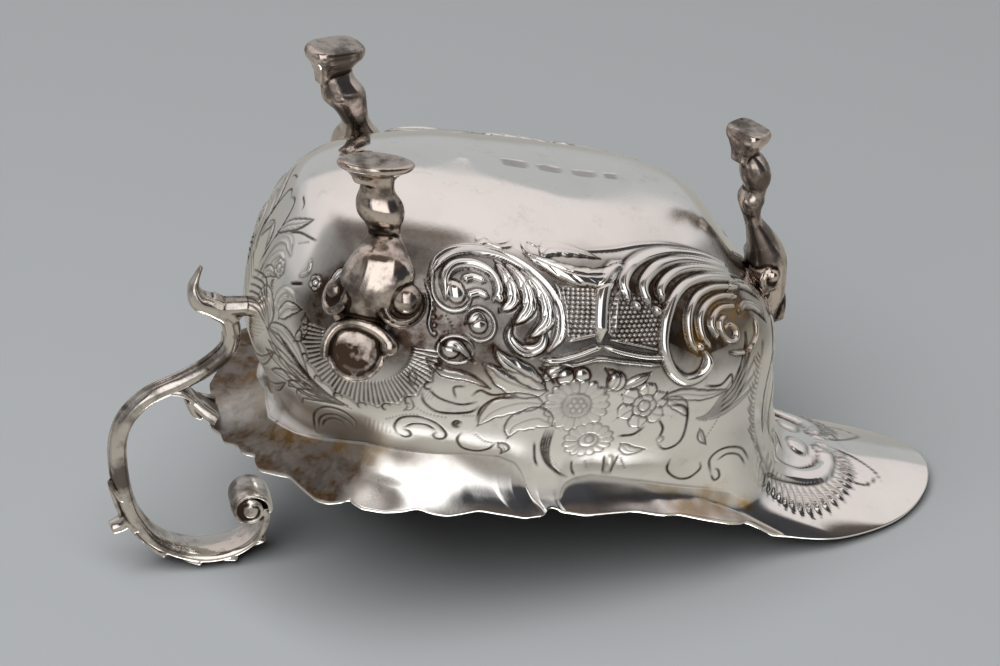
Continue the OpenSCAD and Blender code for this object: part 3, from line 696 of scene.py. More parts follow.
def chase_side(B):
    """All the work on the wall, in the order in which later pieces overlie earlier ones."""
    for work in (ground_shading, knee_rays, scroll_by_leg, buds_and_seeds, diaper_panels, top_leafwork,
                 crest_scroll, flowers, flower_leaves, trailing_stems, lower_scrolls, long_fronds,
                 scroll_by_handle, throat_line):
        work(B)


def settle_tarnish(B):
    """Tarnish stays on the low ground of the deeply worked zone, and rubs off the high parts."""
    zone = smooth(B.ys, 19, 25)[:, None] * (1 - smooth(B.ys, 46, 50))[:, None]
    zone = zone * (smooth(B.xs, 16, 24) * (1 - smooth(B.xs, 128, 138)))[None, :]
    B.dirt = np.clip(B.dirt + zone * 0.55 * (1 - smooth(B.h, 0.02, 0.5)), 0, 1)
    B.dirt *= 1 - 0.75 * smooth(B.h, 0.35, 0.8)
    B.h *= 0.6 + 0.9 * zone


def chase_lip(B):
    """Ornament under the lip, drawn in plan: x forwards, y sideways."""
    inner = np.array([(45.6, 17.4), (48, 15.8), (51.4, 14.9), (55.4, 14.2), (59.6, 13.5), (64, 11.6),
                      (67, 8.6), (68, 5.4), (67.6, 3)])
    outer = np.array([(44.6, 19), (46.6, 18.8), (50.4, 18.6), (54.8, 19.6), (61, 19.2), (67, 15.6),
                       (70.6, 10.6), (71.4, 6.6), (70, 3)])
    for k in range(25):
        p0, p1 = through(inner, np.array([k / 3])), through(outer, np.array([k / 3 + .1]))
        B.leaf([p0[0], (p0[0] * .5 + p1[0] * .5) + [.15, 0], p1[0]], .74, .62, 0, full=.6, dirt=.5)
    B.ridge([(45, 17), (47.6, 15.2), (51, 13.4), (55, 12.3), (59.4, 11.4), (63.2, 9.5), (65.4, 6.4),
             (65.2, 3.8), (63.6, 2.6)], 1.75, 1.0, .12, dirt=.8)
    B.cut([(46, 15.2), (50, 12.6), (54.4, 10.8), (58.6, 9.8), (62, 7.8), (63.2, 5.4)], .24, .2)
    B.ball(59.4, 3.6, 2.3, .8)
    B.ridge(ring(65.6, 2.6, 1.5, 1.4, 60, 330), .4, .4)
    B.cut([(68, 1.4), (72, 3), (76, 6), (77, 8.4)], .2, .1)
    B.cut([(70, 10), (73.4, 10.2), (76, 8)], .2, .1)
    B.cut([(52, 1), (54.4, 4), (55, 7)], .22, .12)


def punch_base(B):
    """Plain punched marks: filled, shallow blocks, one to a place, with nothing legible in them."""
    for x, half_long, half_wide in ((-10, 2.5, 1.4), (-3, 2.3, 1.2), (4, 2.2, 1.2), (9.4, 1.2, 1.1)):
        s, X, Y = B.area(x - 3, -3, x + 3, 3)
        e = np.abs((X - x) / half_long) ** 4 + np.abs(Y / half_wide) ** 4
        B.h[s] -= 0.16 * (1 - smooth(e, 0.7, 1.3))
        B.dirt[s] = np.maximum(B.dirt[s], .4 * (1 - smooth(e, 0.7, 1.6)))


side = Board(GA, GB)
chase_side(side)
settle_tarnish(side)
# the lip's and the underside's boards are drawn in plan: x forwards, y sideways
lip = Board(np.arange(38, 94, CELL), np.arange(-1, 27, CELL))
chase_lip(lip)
base = Board(np.arange(-22, 26, CELL), np.arange(-8, 8, CELL))
punch_base(base)


def noise(scale, seed, shape_pts):
    """Slow bumps over points, made of a few sine waves."""
    r = np.random.default_rng(seed)
    out = np.zeros(shape_pts.shape[:-1])
    for _ in range(10):
        k = r.normal(size=3) / scale
        out += np.sin(shape_pts @ k + r.uniform(0, 6.28))
    return out / 10**0.5


# ---------------------------------------------------------------- body mesh
WALL = 1.0
COLUMNS = 640
ROWS = 262
LEVELS = np.concatenate([[0.0, 0.12], np.linspace(0.3, 1.9, 56), np.linspace(1.93, 6, ROWS),
                         np.linspace(6.02, 8, ROWS // 3)])
LEVELS_IN = np.concatenate([np.linspace(0.12, 6, 70), np.linspace(6.05, 8, 26)])
# millimetres along the belly for each turn, from the handle
TURNS = np.linspace(0, 180, 1441)
BELLY = skin(TURNS, np.array([4.6]))[0]
FROM_LIP = np.r_[0, np.cumsum(np.linalg.norm(np.diff(BELLY, axis=0), axis=1))]
FROM_HANDLE = FROM_LIP[-1] - FROM_LIP
# where the wall meets the polished flare, and how far it is drawn in there: [a, b, mm]
CREASE = [[0, -2.6, 1], [8, -4.8, 1.4], [17, -3.4, 2], [28, -.2, 2.3], [35, 1.6, 2.5], [42, 1.8, 2.6],
          [50, 2.6, 2.6], [57, 3.4, 2.6], [65, 3.4, 2.3], [68.6, 2.2, 1.8], [70.4, 0, 1.2],
          [71.8, -4.6, .5], [73, -8, 0], [76.3, -8, 0], [77.2, -4.6, .5], [78.4, -2.4, 1.1],
          [80.5, -1.4, 1.6], [84, -.9, 1.9], [89, -1.8, 1.9], [95, -3.1, 1.8], [100, -4.6, 1.6],
          [106, -6.3, 1.1], [113, -8, .4], [118, -12, 0]]


def normals_of(S):
    """Outward normals of a grid of points."""
    n = unit(np.cross(np.gradient(S, axis=1), np.gradient(S, axis=0)))
    if n[len(S) // 2, :, 1].mean() < 0:
        n = -n
    n[0] = [0, 0, -1]
    return n


def belly_at(t):
    """Millimetres along the belly from the handle, for each turn."""
    return np.interp(t, TURNS, FROM_HANDLE)


def bend(S, lev_, A, t):
    """Draw the wall in to the crease, and turn the flare out from there to the same rim."""
    cum = np.vstack([np.zeros(S.shape[1]),
                     np.cumsum(np.linalg.norm(np.diff(S, axis=0), axis=2), 0)])
    kw = int(np.argmin(np.abs(lev_ - 6)))
    b = cum[kw] - cum
    tab = np.array(CREASE)
    cr = softly(A, tab[:, :2], 0.5)
    dp = softly(A, tab[:, ::2], 0.8)
    hd = normals_of(S)[kw].copy()
    hd[:, 2] = 0
    hd = unit(hd)
    out = (S * hd).sum(-1)
    at = np.array([np.interp(-cr[j], -b[:, j], out[:, j]) for j in range(len(A))])
    x = b - cr
    s = np.clip(-x / np.maximum(cr - b[-1], 0.5), 0, 1)
    flare = at - dp + (out[-1] - at + dp) * (0.5 * s + 0.5 * s**2) - out
    wall = -dp * np.exp(-(np.maximum(x, 0) / 7.0) ** 1.5)
    gate = smooth(cr - b[-1], 0.3, 2.0) * (1 - smooth(A, 108, 118))
    S = S + hd * (np.where(x > 0, wall, flare) * gate)[..., None]
    # the wavy edge is cut out of the flare along its own slope
    k = int(np.argmin(np.abs(lev_ - 7.5)))
    run = unit(S[-1] - S[k])
    return S + run * (1.1 * softly(t, WAVES, 0.7) * smooth(lev_, 6.5, 8)[:, None])[..., None], b, x


def relief(S, lev, a, b):
    """Height and dirt of the ornament, joined from the side's, the lip's and the underside's."""
    h, dirt = side.read(a, b)
    lip_h, lip_dirt = lip.read(S[..., 0], np.abs(S[..., 1]))
    base_h, base_dirt = base.read(S[..., 0], S[..., 1])
    # the side board ends at the drawn-in line under the lip, where the lip's own board starts
    on_lip = smooth(S[..., 0], 44, 50) * smooth(lev[:, None], 5.9, 6.3)
    h = h * (1 - on_lip) + lip_h * on_lip
    dirt = dirt * (1 - on_lip) + lip_dirt * on_lip
    on_wall = smooth(lev[:, None], 1.9, 2.3)
    under = 1 - smooth(lev[:, None], 1.4, 1.8)
    h = h * on_wall + base_h * under
    dirt = dirt * on_wall + base_dirt * under
    return h * (1 - smooth(lev[:, None], 7.75, 7.95)), dirt


# how far the brown tarnish of the flare runs from the handle, in millimetres of a
BROWN_TO = 38.0
# golden stains: [a, b, reach along a, reach along b, amount]
STAINS = [[101, -8, 1.6, 1.6, .9], [116, -12.5, 2.4, 2.2, 1], [109, -11, 6, 5, .45],
          [116, 33, 6, 5, .45], [104, 30, 3, 5, .35], [121, 26, 4, 5, .25]]


def tarnish_and_painted_reflection(S, lev, a, b, xc, dirt):
    """Dirt, with two painted dark reflections on the flare mixed into it, golden tint and satin wear; xc
    is the way up the wall from the crease.
    """
    share = 1 - smooth(a, 104, 116)
    on_flare = smooth(-xc, 0, 0.6) * (1 - smooth(a, 108, 120)) * smooth(lev[:, None], 5, 5.4)
    patch = smooth(noise(5.0, 11, S) + 0.6 * noise(1.6, 12, S), -0.6, 0.8)
    grain = smooth(noise(0.9, 31, S) + 0.5 * noise(0.45, 32, S), -0.4, 0.9)
    brown = (1 - smooth(a, BROWN_TO - 4, BROWN_TO + 4)) * (0.6 + 0.4 * smooth(a, 3, 9))
    near_crease = bell(xc, -1, 2.2) * share * (1 - smooth(a, 60, 70))
    for layer in (
            0.5 * bell(xc, .15, .3) * share,
            on_flare * np.minimum(.97, brown * (0.86 + 0.06 * patch + 0.14 * grain)),
            near_crease * (0.3 + 0.45 * patch),
            # painted dark reflections, kept with the dirt: a dark band on the flare from a 82 to 97 mm,
            # and a dark spot near the rim where two lobes of the flare meet
            on_flare * 0.62 * smooth(a, 82, 85) * (1 - smooth(a, 92, 97)) * smooth(-xc, 0.5, 2),
            on_flare * 0.7 * bell(a, 71.5, 2.2) * smooth(-b, 3, 7),
            on_flare * (0.3 + 0.4 * patch) * smooth(a, 92, 99)):
        dirt = np.maximum(dirt, layer)
    tint = on_flare * np.maximum(0.1 * brown, 0.3 * smooth(a, 92, 98)) + 0.12 * near_crease
    for at_a, at_b, reach_a, reach_b, amount in STAINS:
        spot = np.exp(-((a - at_a) / reach_a) ** 2 - ((b - at_b) / reach_b) ** 2)
        tint = np.maximum(tint, amount * spot)
    # the underside behind the front leg, the tarnished flare and the engraved wall are less bright
    behind_leg = np.exp(-((S[..., 0] - 16) / 12) ** 2 - ((np.abs(S[..., 1]) - 9) / 9) ** 2)
    engraved = smooth(xc, 0.1, 0.5) * (1 - smooth(b, 19, 24)) * smooth(a, 3, 9) * (1 - smooth(a, 118, 126))
    satin = (behind_leg * smooth(b, 40, 46)
             + on_flare * (1 - smooth(a, BROWN_TO + 4, BROWN_TO + 12)) * 0.8 + engraved)
    return dirt, tint, satin


def hand_work(h, S, a, b):
    """Folds of the flare beside the handle, and the slow bumps that hand-raised silver has."""
    near_handle = (1 - smooth(a, 9, 15)) * (1 - smooth(b, 0, 6))
    h = h - 0.35 * near_handle * np.exp(-((a - 6.5 + .25 * b) / 2.2) ** 2)
    h = h + 0.2 * near_handle * np.exp(-((a - 11 + .2 * b) / 1.6) ** 2)
    return h + 0.035 * noise(9.0, 3, S) + 0.012 * noise(2.6, 5, S)


def whole(g, mirror_y=False):
    """The full ring of columns: the near side, then the far side mirrored."""
    far = g[:, -2:0:-1].copy()
    if mirror_y:
        far[..., 1] *= -1
    return np.concatenate([g, far], 1)


def inner_skin(turns):
    """The bowl's inside: the wall's thickness in from the outside, with a soft echo of the relief."""
    S, b, _ = bend(skin(turns, LEVELS_IN), LEVELS_IN, belly_at(turns), turns)
    N = normals_of(S)
    soft = Board(side.xs, side.ys)
    soft.h = blur(side.h, 11)
    echo, _ = soft.read(np.broadcast_to(belly_at(turns), b.shape), b)
    echo = echo * smooth(LEVELS_IN[:, None], 1.9, 2.3) * (1 - smooth(LEVELS_IN[:, None], 5.8, 6.2))
    echo = echo + 0.035 * noise(9.0, 3, S)
    return S - N * WALL + N * (0.55 * echo)[..., None], N


def ring_quads(s0, s1, m):
    """Quads between two rings of m points that start at s0 and s1."""
    j = np.arange(m)
    k = (j + 1) % m
    return np.stack([s0 + j, s0 + k, s1 + k, s1 + j], 1)


def bowl_faces(V, rows, n, ni):
    """Faces of the outside (rows of n points), the rounded edge, and the inside (rows of ni)."""
    rows_in = len(LEVELS_IN)
    quads = [ring_quads(1 + (k - 1) * n, 1 + k * n, n) for k in range(1, rows)]
    start_in = 1 + rows * n
    quads += [ring_quads(start_in + k * ni, start_in + (k + 1) * ni, ni) for k in range(rows_in - 1)]
    j = np.arange(n)
    tris = [np.stack([np.zeros(n, int), 1 + (j + 1) % n, 1 + j], 1)]
    mid = 1 + (rows - 1) * n
    q = np.arange(ni)
    q1 = (q + 1) % ni
    tris.append(np.stack([mid + 2 * q, mid + 2 * q + 1, start_in + q], 1))
    tris.append(np.stack([mid + 2 * q + 1, mid + (2 * q + 2) % n, start_in + q1], 1))
    tris.append(np.stack([mid + 2 * q + 1, start_in + q1, start_in + q], 1))
    last_ring = start_in + (rows_in - 1) * ni
    tris.append(np.stack([last_ring + q, last_ring + q1, np.full(ni, len(V) - 1)], 1))
    quads, tris = np.concatenate(quads), np.concatenate(tris)
    # the winding follows the outward side
    f = quads[len(quads) // 3]
    facing = np.cross(V[f[1]] - V[f[0]], V[f[2]] - V[f[0]])
    if facing @ (V[f].mean(0) - np.array([-5, 0, 45])) < 0:
        quads, tris = quads[:, ::-1], tris[:, ::-1]
    return quads, tris


def bowl_piece():
    """The raised bowl, its flare and its lip, with the ornament in the mesh."""
    turns = np.interp(np.linspace(0, 1, COLUMNS + 1), FROM_LIP / FROM_LIP[-1], TURNS)
    S, b, xc = bend(skin(turns, LEVELS), LEVELS, belly_at(turns), turns)
    a = np.broadcast_to(belly_at(turns), b.shape)
    h, dirt = relief(S, LEVELS, a, b)
    dirt, tint, satin = tarnish_and_painted_reflection(S, LEVELS, a, b, xc, dirt)
    outside = whole(S + normals_of(S) * hand_work(h, S, a, b)[..., None], True)
    inner, N = inner_skin(turns[::2])
    inside = whole(inner, True)
    # rounded edge: one ring over the rim
    top = S[-1] - N[-1].repeat(2, 0)[:S.shape[1]] * WALL / 2
    rim_mid = whole(top[None] + np.array([0, 0, 0.3]), True)[0]
    V = np.concatenate([outside[0, :1], *outside[1:], rim_mid, *inside[::-1], inside[0].mean(0)[None]])
    body = make_mesh("bowl_raised", V, *bowl_faces(V, len(outside), outside.shape[1], inside.shape[1]))
    # the bowl's dirt holds the tarnish and also the painted dark reflections on the flare
    for name, grid, within in (("dirt", dirt, 0.0), ("tint", tint, 0.0), ("satin", satin, 0.45)):
        grid = whole(grid)
        values = np.full(len(V), within)
        flat = np.concatenate([grid[0, :1], grid[1:].ravel()])
        values[:len(flat)] = flat
        give(body, name, np.clip(values, 0, 1))
    return body


def coarse_skin():
    """Search tree of the bowl's plain skin, for fitting the castings to it, and its outward sign."""
    turns, lev = np.linspace(0, 180, 91), np.linspace(0, 8, 81)
    C = whole(bend(skin(turns, lev), lev, belly_at(turns), turns)[0], True)
    n = C.shape[1]
    j = np.arange(n)
    quads = np.concatenate([np.stack([k * n + j, k * n + (j + 1) % n, (k + 1) * n + (j + 1) % n,
                                      (k + 1) * n + j], 1) for k in range(len(lev) - 1)])
    tree = BVHTree.FromPolygons([Vector(v) for v in C.reshape(-1, 3)],
                                [list(map(int, f)) for f in quads])
    return tree, 1.0 if tree.find_nearest(Vector((-10, 60, 45)))[1][1] > 0 else -1.0


body = bowl_piece()
SKIN, OUTWARD = coarse_skin()


def sink(pts, depth=0.5, below=71, reach=14):
    """Points that are inside the bowl move out until they lie within its wall."""
    out = pts.copy()
    for k, p in enumerate(pts):
        place, normal, _, dist = SKIN.find_nearest(Vector(p))
        if place is None:
            continue
        normal = np.array(normal) * OUTWARD
        place = np.array(place)
        gap = (p - place) @ normal
        if p[2] < below and gap < -depth and -gap > 0.85 * dist and dist < reach:
            out[k] = place - normal * depth
    return out


# ---------------------------------------------------------------- castings
def sleeve(rings, sides):
    """Faces of a closed tube of rings, with its two ends capped."""
    f = [[k * sides + i, k * sides + (i + 1) % sides, (k + 1) * sides + (i + 1) % sides,
          (k + 1) * sides + i] for k in range(rings - 1) for i in range(sides)]
    return f + [list(range(sides))[::-1], list(range((rings - 1) * sides, rings * sides))]


def hollowness(ob, co):
    """How hollow the surface is at each point: dirt gathers where it is most so."""
    nrm = np.zeros(len(co) * 3)
    ob.data.vertices.foreach_get("normal", nrm)
    nrm = nrm.reshape(-1, 3)
    e = np.zeros(len(ob.data.edges) * 2, np.int32)
    ob.data.edges.foreach_get("vertices", e)
    e = e.reshape(-1, 2)
    run = co[e[:, 1]] - co[e[:, 0]]
    k = (run * (nrm[e[:, 1]] - nrm[e[:, 0]])).sum(1)
    k = k / np.maximum((run ** 2).sum(1), 1e-9)
    curv = np.zeros(len(co))
    count = np.zeros(len(co))
    for c in (0, 1):
        np.add.at(curv, e[:, c], k)
        np.add.at(count, e[:, c], 1)
    curv /= np.maximum(count, 1)
    for _ in range(6):
        near = np.zeros(len(co))
        np.add.at(near, e[:, 0], curv[e[:, 1]])
        np.add.at(near, e[:, 1], curv[e[:, 0]])
        curv = 0.4 * curv + 0.6 * near / np.maximum(count, 1)
    return smooth(-curv, -0.03, 0.34)


class Casting:
    """Closed pieces that are melted into one skin, with a brown stain at one place."""

    def __init__(self):
        self.v, self.f, self.n = [], [], 0
        self.stain, self.stain_r = np.zeros(3), 0

    def add(self, v, f):
        """Points and faces of one more closed piece."""
        self.v.append(np.asarray(v, float))
        self.f += [[i + self.n for i in face] for face in f]
        self.n += len(v)

    def tube(self, stations, square=2.0, sides=28, steps=8):
        """Rows are [x, y, z, width, thickness]; the width lies along y."""
        s = np.asarray(stations, float)
        c = through(s, np.linspace(0, len(s) - 1, (len(s) - 1) * steps + 1))
        d = np.gradient(c[:, :3], axis=0)
        d[:, 1] = 0
        d = unit(d)
        th = 2 * np.pi * (np.arange(sides) + 0.5) / sides
        e = 2 / square
        cw, ct = power(np.cos(th), e), power(np.sin(th), e)
        v = np.zeros((len(c), sides, 3))
        v[..., 0] = c[:, 0:1] - c[:, 4:5] / 2 * ct * d[:, 2:3]
        v[..., 1] = c[:, 1:2] + c[:, 3:4] / 2 * cw
        v[..., 2] = c[:, 2:3] + c[:, 4:5] / 2 * ct * d[:, 0:1]
        self.add(v.reshape(-1, 3), sleeve(len(c), sides))

    def wire(self, pts, r0, r1=None, sides=10, n=None):
        """Round wire through points, tapering from r0 to r1."""
        pts = np.asarray(pts, float)
        n = n or len(pts) * 6
        c = curve(pts, n)
        d = unit(np.gradient(c, axis=0))
        up = np.array([0.3, 0.2, 1.0])
        x = unit(np.cross(d, up))
        y = np.cross(d, x)
        r = np.linspace(r0, r0 if r1 is None else r1, n)[:, None]
        th = 2 * np.pi * np.arange(sides) / sides
        v = (c[:, None] + r[..., None] * (np.cos(th)[None, :, None] * x[:, None]
                                          + np.sin(th)[None, :, None] * y[:, None]))
        self.add(v.reshape(-1, 3), sleeve(n, sides))

    def ball(self, c, r, nu=20, nv=12):
        """Round bead of nu columns and nv rows."""
        v = [[0, 0, 1]] + [[np.sin(np.pi * i / nv) * np.cos(2 * np.pi * k / nu),
                            np.sin(np.pi * i / nv) * np.sin(2 * np.pi * k / nu),
                            np.cos(np.pi * i / nv)] for i in range(1, nv)
                           for k in range(nu)] + [[0, 0, -1]]
        f = [[0, 1 + k, 1 + (k + 1) % nu] for k in range(nu)]
        f += [[1 + i * nu + k, 1 + (i + 1) * nu + k, 1 + (i + 1) * nu + (k + 1) % nu,
               1 + i * nu + (k + 1) % nu] for i in range(nv - 2) for k in range(nu)]
        e = 1 + (nv - 1) * nu
        f += [[e, e - nu + (k + 1) % nu, e - nu + k] for k in range(nu)]
        self.add(np.array(v) * r + np.array(c), f)

    def disc(self, profile, turn=None, at=(0, 0, 0), sx=1.0, sy=1.0, sides=48, e=2.0):
        """Turned solid from [radius, height] rows, stretched to an oval."""
        p = np.asarray(profile, float)
        th = 2 * np.pi * np.arange(sides) / sides
        v = np.stack([p[:, 0:1] * power(np.cos(th), 2 / e) * sx,
                      p[:, 0:1] * power(np.sin(th), 2 / e) * sy,
                      np.broadcast_to(p[:, 1:2], (len(p), sides))], -1)
        v = v.reshape(-1, 3)
        if turn is not None:
            v = v @ np.array(turn).T
        self.add(v + np.array(at), sleeve(len(p), sides))

    def place(self, matrix=None, move=(0, 0, 0), mirror=False):
        """Turn, move and mirror all the pieces, and the stain with them."""
        v = np.concatenate(self.v)
        if matrix is not None:
            v = v @ np.array(matrix).T
        v = v + np.array(move)
        if mirror:
            v[:, 1] *= -1
        self.v = [v]
        if matrix is not None:
            self.stain = np.array(matrix) @ self.stain
        self.stain = (self.stain + np.array(move)) * [1, -1 if mirror else 1, 1]
        if mirror:
            self.f = [face[::-1] for face in self.f]

    def build(self, name, voxel=0.24, relax=3, flat_sole=False):
        """Melt the pieces into one mesh, fit it to the bowl, and mark where dirt lies."""
        me = bpy.data.meshes.new(name)
        v = np.concatenate(self.v)
        me.from_pydata([tuple(p) for p in v], [], self.f)
        ob = bpy.data.objects.new(name, me)
        bpy.context.scene.collection.objects.link(ob)
        mod = ob.modifiers.new("melt", "REMESH")
        mod.mode = "VOXEL"
        mod.voxel_size = voxel * 1.0
        mod.use_smooth_shade = True
        sm = ob.modifiers.new("relax", "SMOOTH")
        sm.factor = 0.5
        sm.iterations = relax
        deps = bpy.context.evaluated_depsgraph_get()
        got = bpy.data.meshes.new_from_object(ob.evaluated_get(deps))
        co = np.zeros(len(got.vertices) * 3)
        got.vertices.foreach_get("co", co)
        co = co.reshape(-1, 3)
        polys = np.array([p.vertices[:] for p in got.polygons if len(p.vertices) == 4])
        bpy.data.objects.remove(ob)
        if flat_sole:
            co[:, 2] = np.maximum(co[:, 2], 0.02)
        co = sink(co)
        out = make_mesh(name, co, polys)
        bpy.data.meshes.remove(got)
        dark = hollowness(out, co)
        if self.stain_r:
            d = np.linalg.norm(co - self.stain, axis=1) + .6 * noise(1.2, 8, co)
            dark = np.maximum(dark, .52 * (1 - smooth(d, .3 * self.stain_r, .85 * self.stain_r)))
        give(out, "dirt", np.clip(dark, 0, 1))
        return out


def turn_z(deg):
    """Matrix of a turn about z."""
    c, s = np.cos(np.radians(deg)), np.sin(np.radians(deg))
    return [[c, -s, 0], [s, c, 0], [0, 0, 1]]


def turn_y(deg):
    """Matrix of a turn about y."""
    c, s = np.cos(np.radians(deg)), np.sin(np.radians(deg))
    return [[c, 0, s], [0, 1, 0], [-s, 0, c]]


# up the leg from its foot: [z, out, aside, width, thickness]
LEFT = [[1.5, 0, 0, 8, 5], [4.6, -.4, -.8, 6.4, 3.6], [6.6, -.8, -1.2, 6.8, 4.2],
        [9, -1.2, -1.9, 8.8, 6.2], [11.2, -1.4, -2.4, 8.8, 6.2], [13.2, -1.5, -3.1, 7, 4.8],
        [15.2, -1, -3.9, 6.2, 4.4], [17, .6, -4.4, 8.8, 6], [19.6, 2.8, -4.6, 12.6, 8.8],
        [22.6, 4, -4, 13.2, 9.4], [26, 4.6, -3.4, 12.6, 8.4], [30, 4.4, -3.2, 12, 5.6],
        [34, 3, -3.2, 10, 2.6], [40, 3, -4, 4, 1.6]]
RIGHT = [[1.5, 0, 0, 8, 5], [4.6, -.4, -.8, 6.4, 3.6], [6.6, -.8, -1.2, 6.8, 4.2],
         [9, -1.2, -2.4, 8.8, 6.2], [11.2, -1.5, -3.1, 8.8, 6.2], [13.2, -1.7, -4.6, 7, 4.8],
         [15.2, -1.2, -6, 6.2, 4.4], [17, -.3, -7.3, 6.2, 4.6], [19.8, .9, -8.9, 7.6, 6],
         [22.8, 2.4, -10.2, 10.6, 8], [26.2, 3.9, -11.2, 11, 8], [30.4, 3.9, -11.7, 9.8, 5],
         [34, 2.9, -12.1, 8, 2.6], [40, 3, -12.4, 4, 1.6]]
FRONT = [[1.4, 0, 0, 6, 4.6], [4.2, .2, 0, 4.4, 3], [5.6, .8, 0, 4.8, 3.2], [8, 2.4, 0, 7, 5.4],
         [10.4, 3.5, 0, 7.4, 5.8], [13, 3.9, 0, 5.4, 4.4], [15.4, 3.7, 0, 6.2, 5.2],
         [18, 4.3, 0, 5.2, 3.7], [20.4, 5.3, 0, 5.4, 3.3], [23.5, 7.3, 0, 8, 5.2],
         [27.5, 9.6, 0, 10, 7.4], [32, 11, 0, 10.2, 6.8], [36.5, 12.2, 0, 9, 5.4],
         [41, 12.9, 0, 6, 3.6], [44.4, 13.4, 0, 2.4, 1.6]]


def leg(rows, foot, turn, scroll, look, shield, lean, uneven):
    """One cabriole leg, before it is placed.

    foot: half length, half width, squareness, height. turn: of the foot, in degrees.
    scroll: z, sideways, out, radius. look: degrees that each scroll faces aside.
    shield: z, out, radius. lean: of scrolls and shield. uneven: the second scroll is smaller.
    """
    c = Casting()
    half_long, half_wide, squareness, tall = foot
    sole = [[0.03, 0.0], [0.86, 0.0], [0.96, 0.25], [1.0, 0.8], [0.95, 1.4], [0.76, 2.2],
            [0.58, 3.3], [0.48, 4.6]]
    c.disc(np.array(sole) * [1, tall], turn=turn_z(turn), sx=half_wide, sy=half_long, e=squareness)
    tb = np.array(rows)
    c.tube(np.stack([tb[:, 1], tb[:, 2], tb[:, 0], tb[:, 3], tb[:, 4]], 1), square=2.25)

    def axis_at(z):
        return np.array([np.interp(z, tb[:, 0], tb[:, 1]), np.interp(z, tb[:, 0], tb[:, 2]), z])

    height, aside, out, r = scroll
    for s in (-1, 1):
        turned = np.array(turn_z(s * look[s > 0])) @ np.array(turn_y(90 + lean))
        if uneven and s > 0:
            height, aside, r = height + 1.2, aside - .3, r * .8
        o = axis_at(height) + np.array([out, s * aside, 0])
        c.disc([[r * .7, -4.5], [r * .95, -.8], [r, 0.0], [r * .86, 0.7], [0.5, 0.8]],
               turn=turned, at=o, sides=36)
        # ball held in two turns of the scroll
        c.ball(o + turned @ np.array([r * .22, s * r * .12, 0.7]), r * (.7 if s < 0 else .5))
        for k, w in ((.82, .11), (1.05, .13)):
            q = np.radians(np.linspace(90, 300, 24)) * -s
            turns = np.stack([k * r * np.cos(q), k * r * np.sin(q), np.full(24, .75 - .5 * (k > 1))], 1)
            c.wire(turns @ turned.T + o, r * w, r * w * .8, n=50)
    height, out, r = shield
    R = np.array(turn_y(90 + lean))
    o = axis_at(height)
    o[0] = out
    c.disc([[r * .7, -4.2], [r * .9, -1.8], [r, 0.0], [r * .98, 0.7], [r * .9, 0.95],
            [r * .78, 0.6], [r * .5, .35], [0.4, .3]], turn=R, at=o, sy=0.92)
    c.stain, c.stain_r = o.copy(), r
    # raised pale lip over it that ends in a curl on one side, drawn on a shield of this radius
    k = r / 5.6
    c.wire([o + R @ (np.array(v) * k) for v in
            ([-2.4, 5.1, .6], [.6, 5.3, .8], [3.4, 4, 1], [4.6, 1.4, 1.2], [4.5, -1.4, 1.2],
             [3.6, -3.8, 1.1], [2, -5.6, .8])], .7 * k, 1.3 * k)
    c.ball(o + R @ (np.array([1.8, -5.4, .6]) * k), 1.7 * k)
    for t in np.radians(104 + 7 * np.arange(23)):
        c.wire([o + R @ np.array([.76 * r * np.cos(t), .75 * r * np.sin(t), 0.5]),
                o + R @ np.array([.97 * r * np.cos(t), .95 * r * np.sin(t), 0.8])], 0.15, 0.2,
               sides=6, n=4)
    return c


def rear_leg(name, rows, foot, foot_turn, scroll, mirror):
    """A back leg, turned to face outwards at its corner of the bowl."""
    c = leg(rows, foot, foot_turn, scroll, (18, 55), (34.2, 9.2, 6.0), 24, True)
    c.place(turn_z(108), (-42.5, 22.3, 0), mirror)
    return c.build(name, flat_sole=True)


def front_leg():
    """The single leg under the lip."""
    c = leg(FRONT, (4.0, 3.4, 4, 1.6), -38, (30, 4.6, -.6, 2.7), (62, 62), (38.4, 13.9, 3.9), 8, False)
    c.place(None, (34.6, 0, 0))
    return c.build("leg_cast_front", flat_sole=True)


leg_left = rear_leg("leg_cast_rear_left", LEFT, (7.4, 3.5, 1.85, 1), -20, (24.4, 6.0, 1.7, 4.1), False)
leg_right = rear_leg("leg_cast_rear_right", RIGHT, (6.0, 3.8, 3.2, 1.7), 6, (28.2, 5.4, .9, 3.7), True)
leg_front = front_leg()

# the handle, up from its lower tip and over the top: [x, y, z, width, thickness]
HT = 102
ROD = [
    [-66.2, 0, 37.2, 1.2, 0.8], [-66.8, 0, 39.6, 2.2, 1.3], [-67, 0, 42, 3.8, 2.4],
    [-65.6, 0, 44.6, 5, 4], [-62.4, 0, 46, 4.8, 4.4], [-59.2, 0, 48.6, 4.2, 3.7],
    [-58.2, 0, 54, 4, 3.5], [-61.4, 0, 58.8, 4, 3.5], [-66.4, 0, 62.8, 4, 3.5],
    [-72, 0, 66.4, 4, 3.5], [-75.5, 0, 70.8, 4, 3.5], [-76.8, 0, 76, 4, 3.5],
    [-76.2, 0, 82, 4.4, 3.5], [-74.3, 0, 88.6, 5, 3.3], [-71.6, 0, 94.2, 5.8, 3.2],
    [-67.2, 0, HT - 3, 6.6, 3.1], [-62, 0, HT - .6, 7.2, 3], [-56.6, 0, HT, 8, 2.9],
    [-51.4, 0, HT - 1.4, 8, 2.7], [-47.6, 0, HT - 4.6, 8, 2.5], [-46, 0, HT - 9, 8, 2.3],
    [-46.6, 0, HT - 12.4, 7.8, 1.9]]


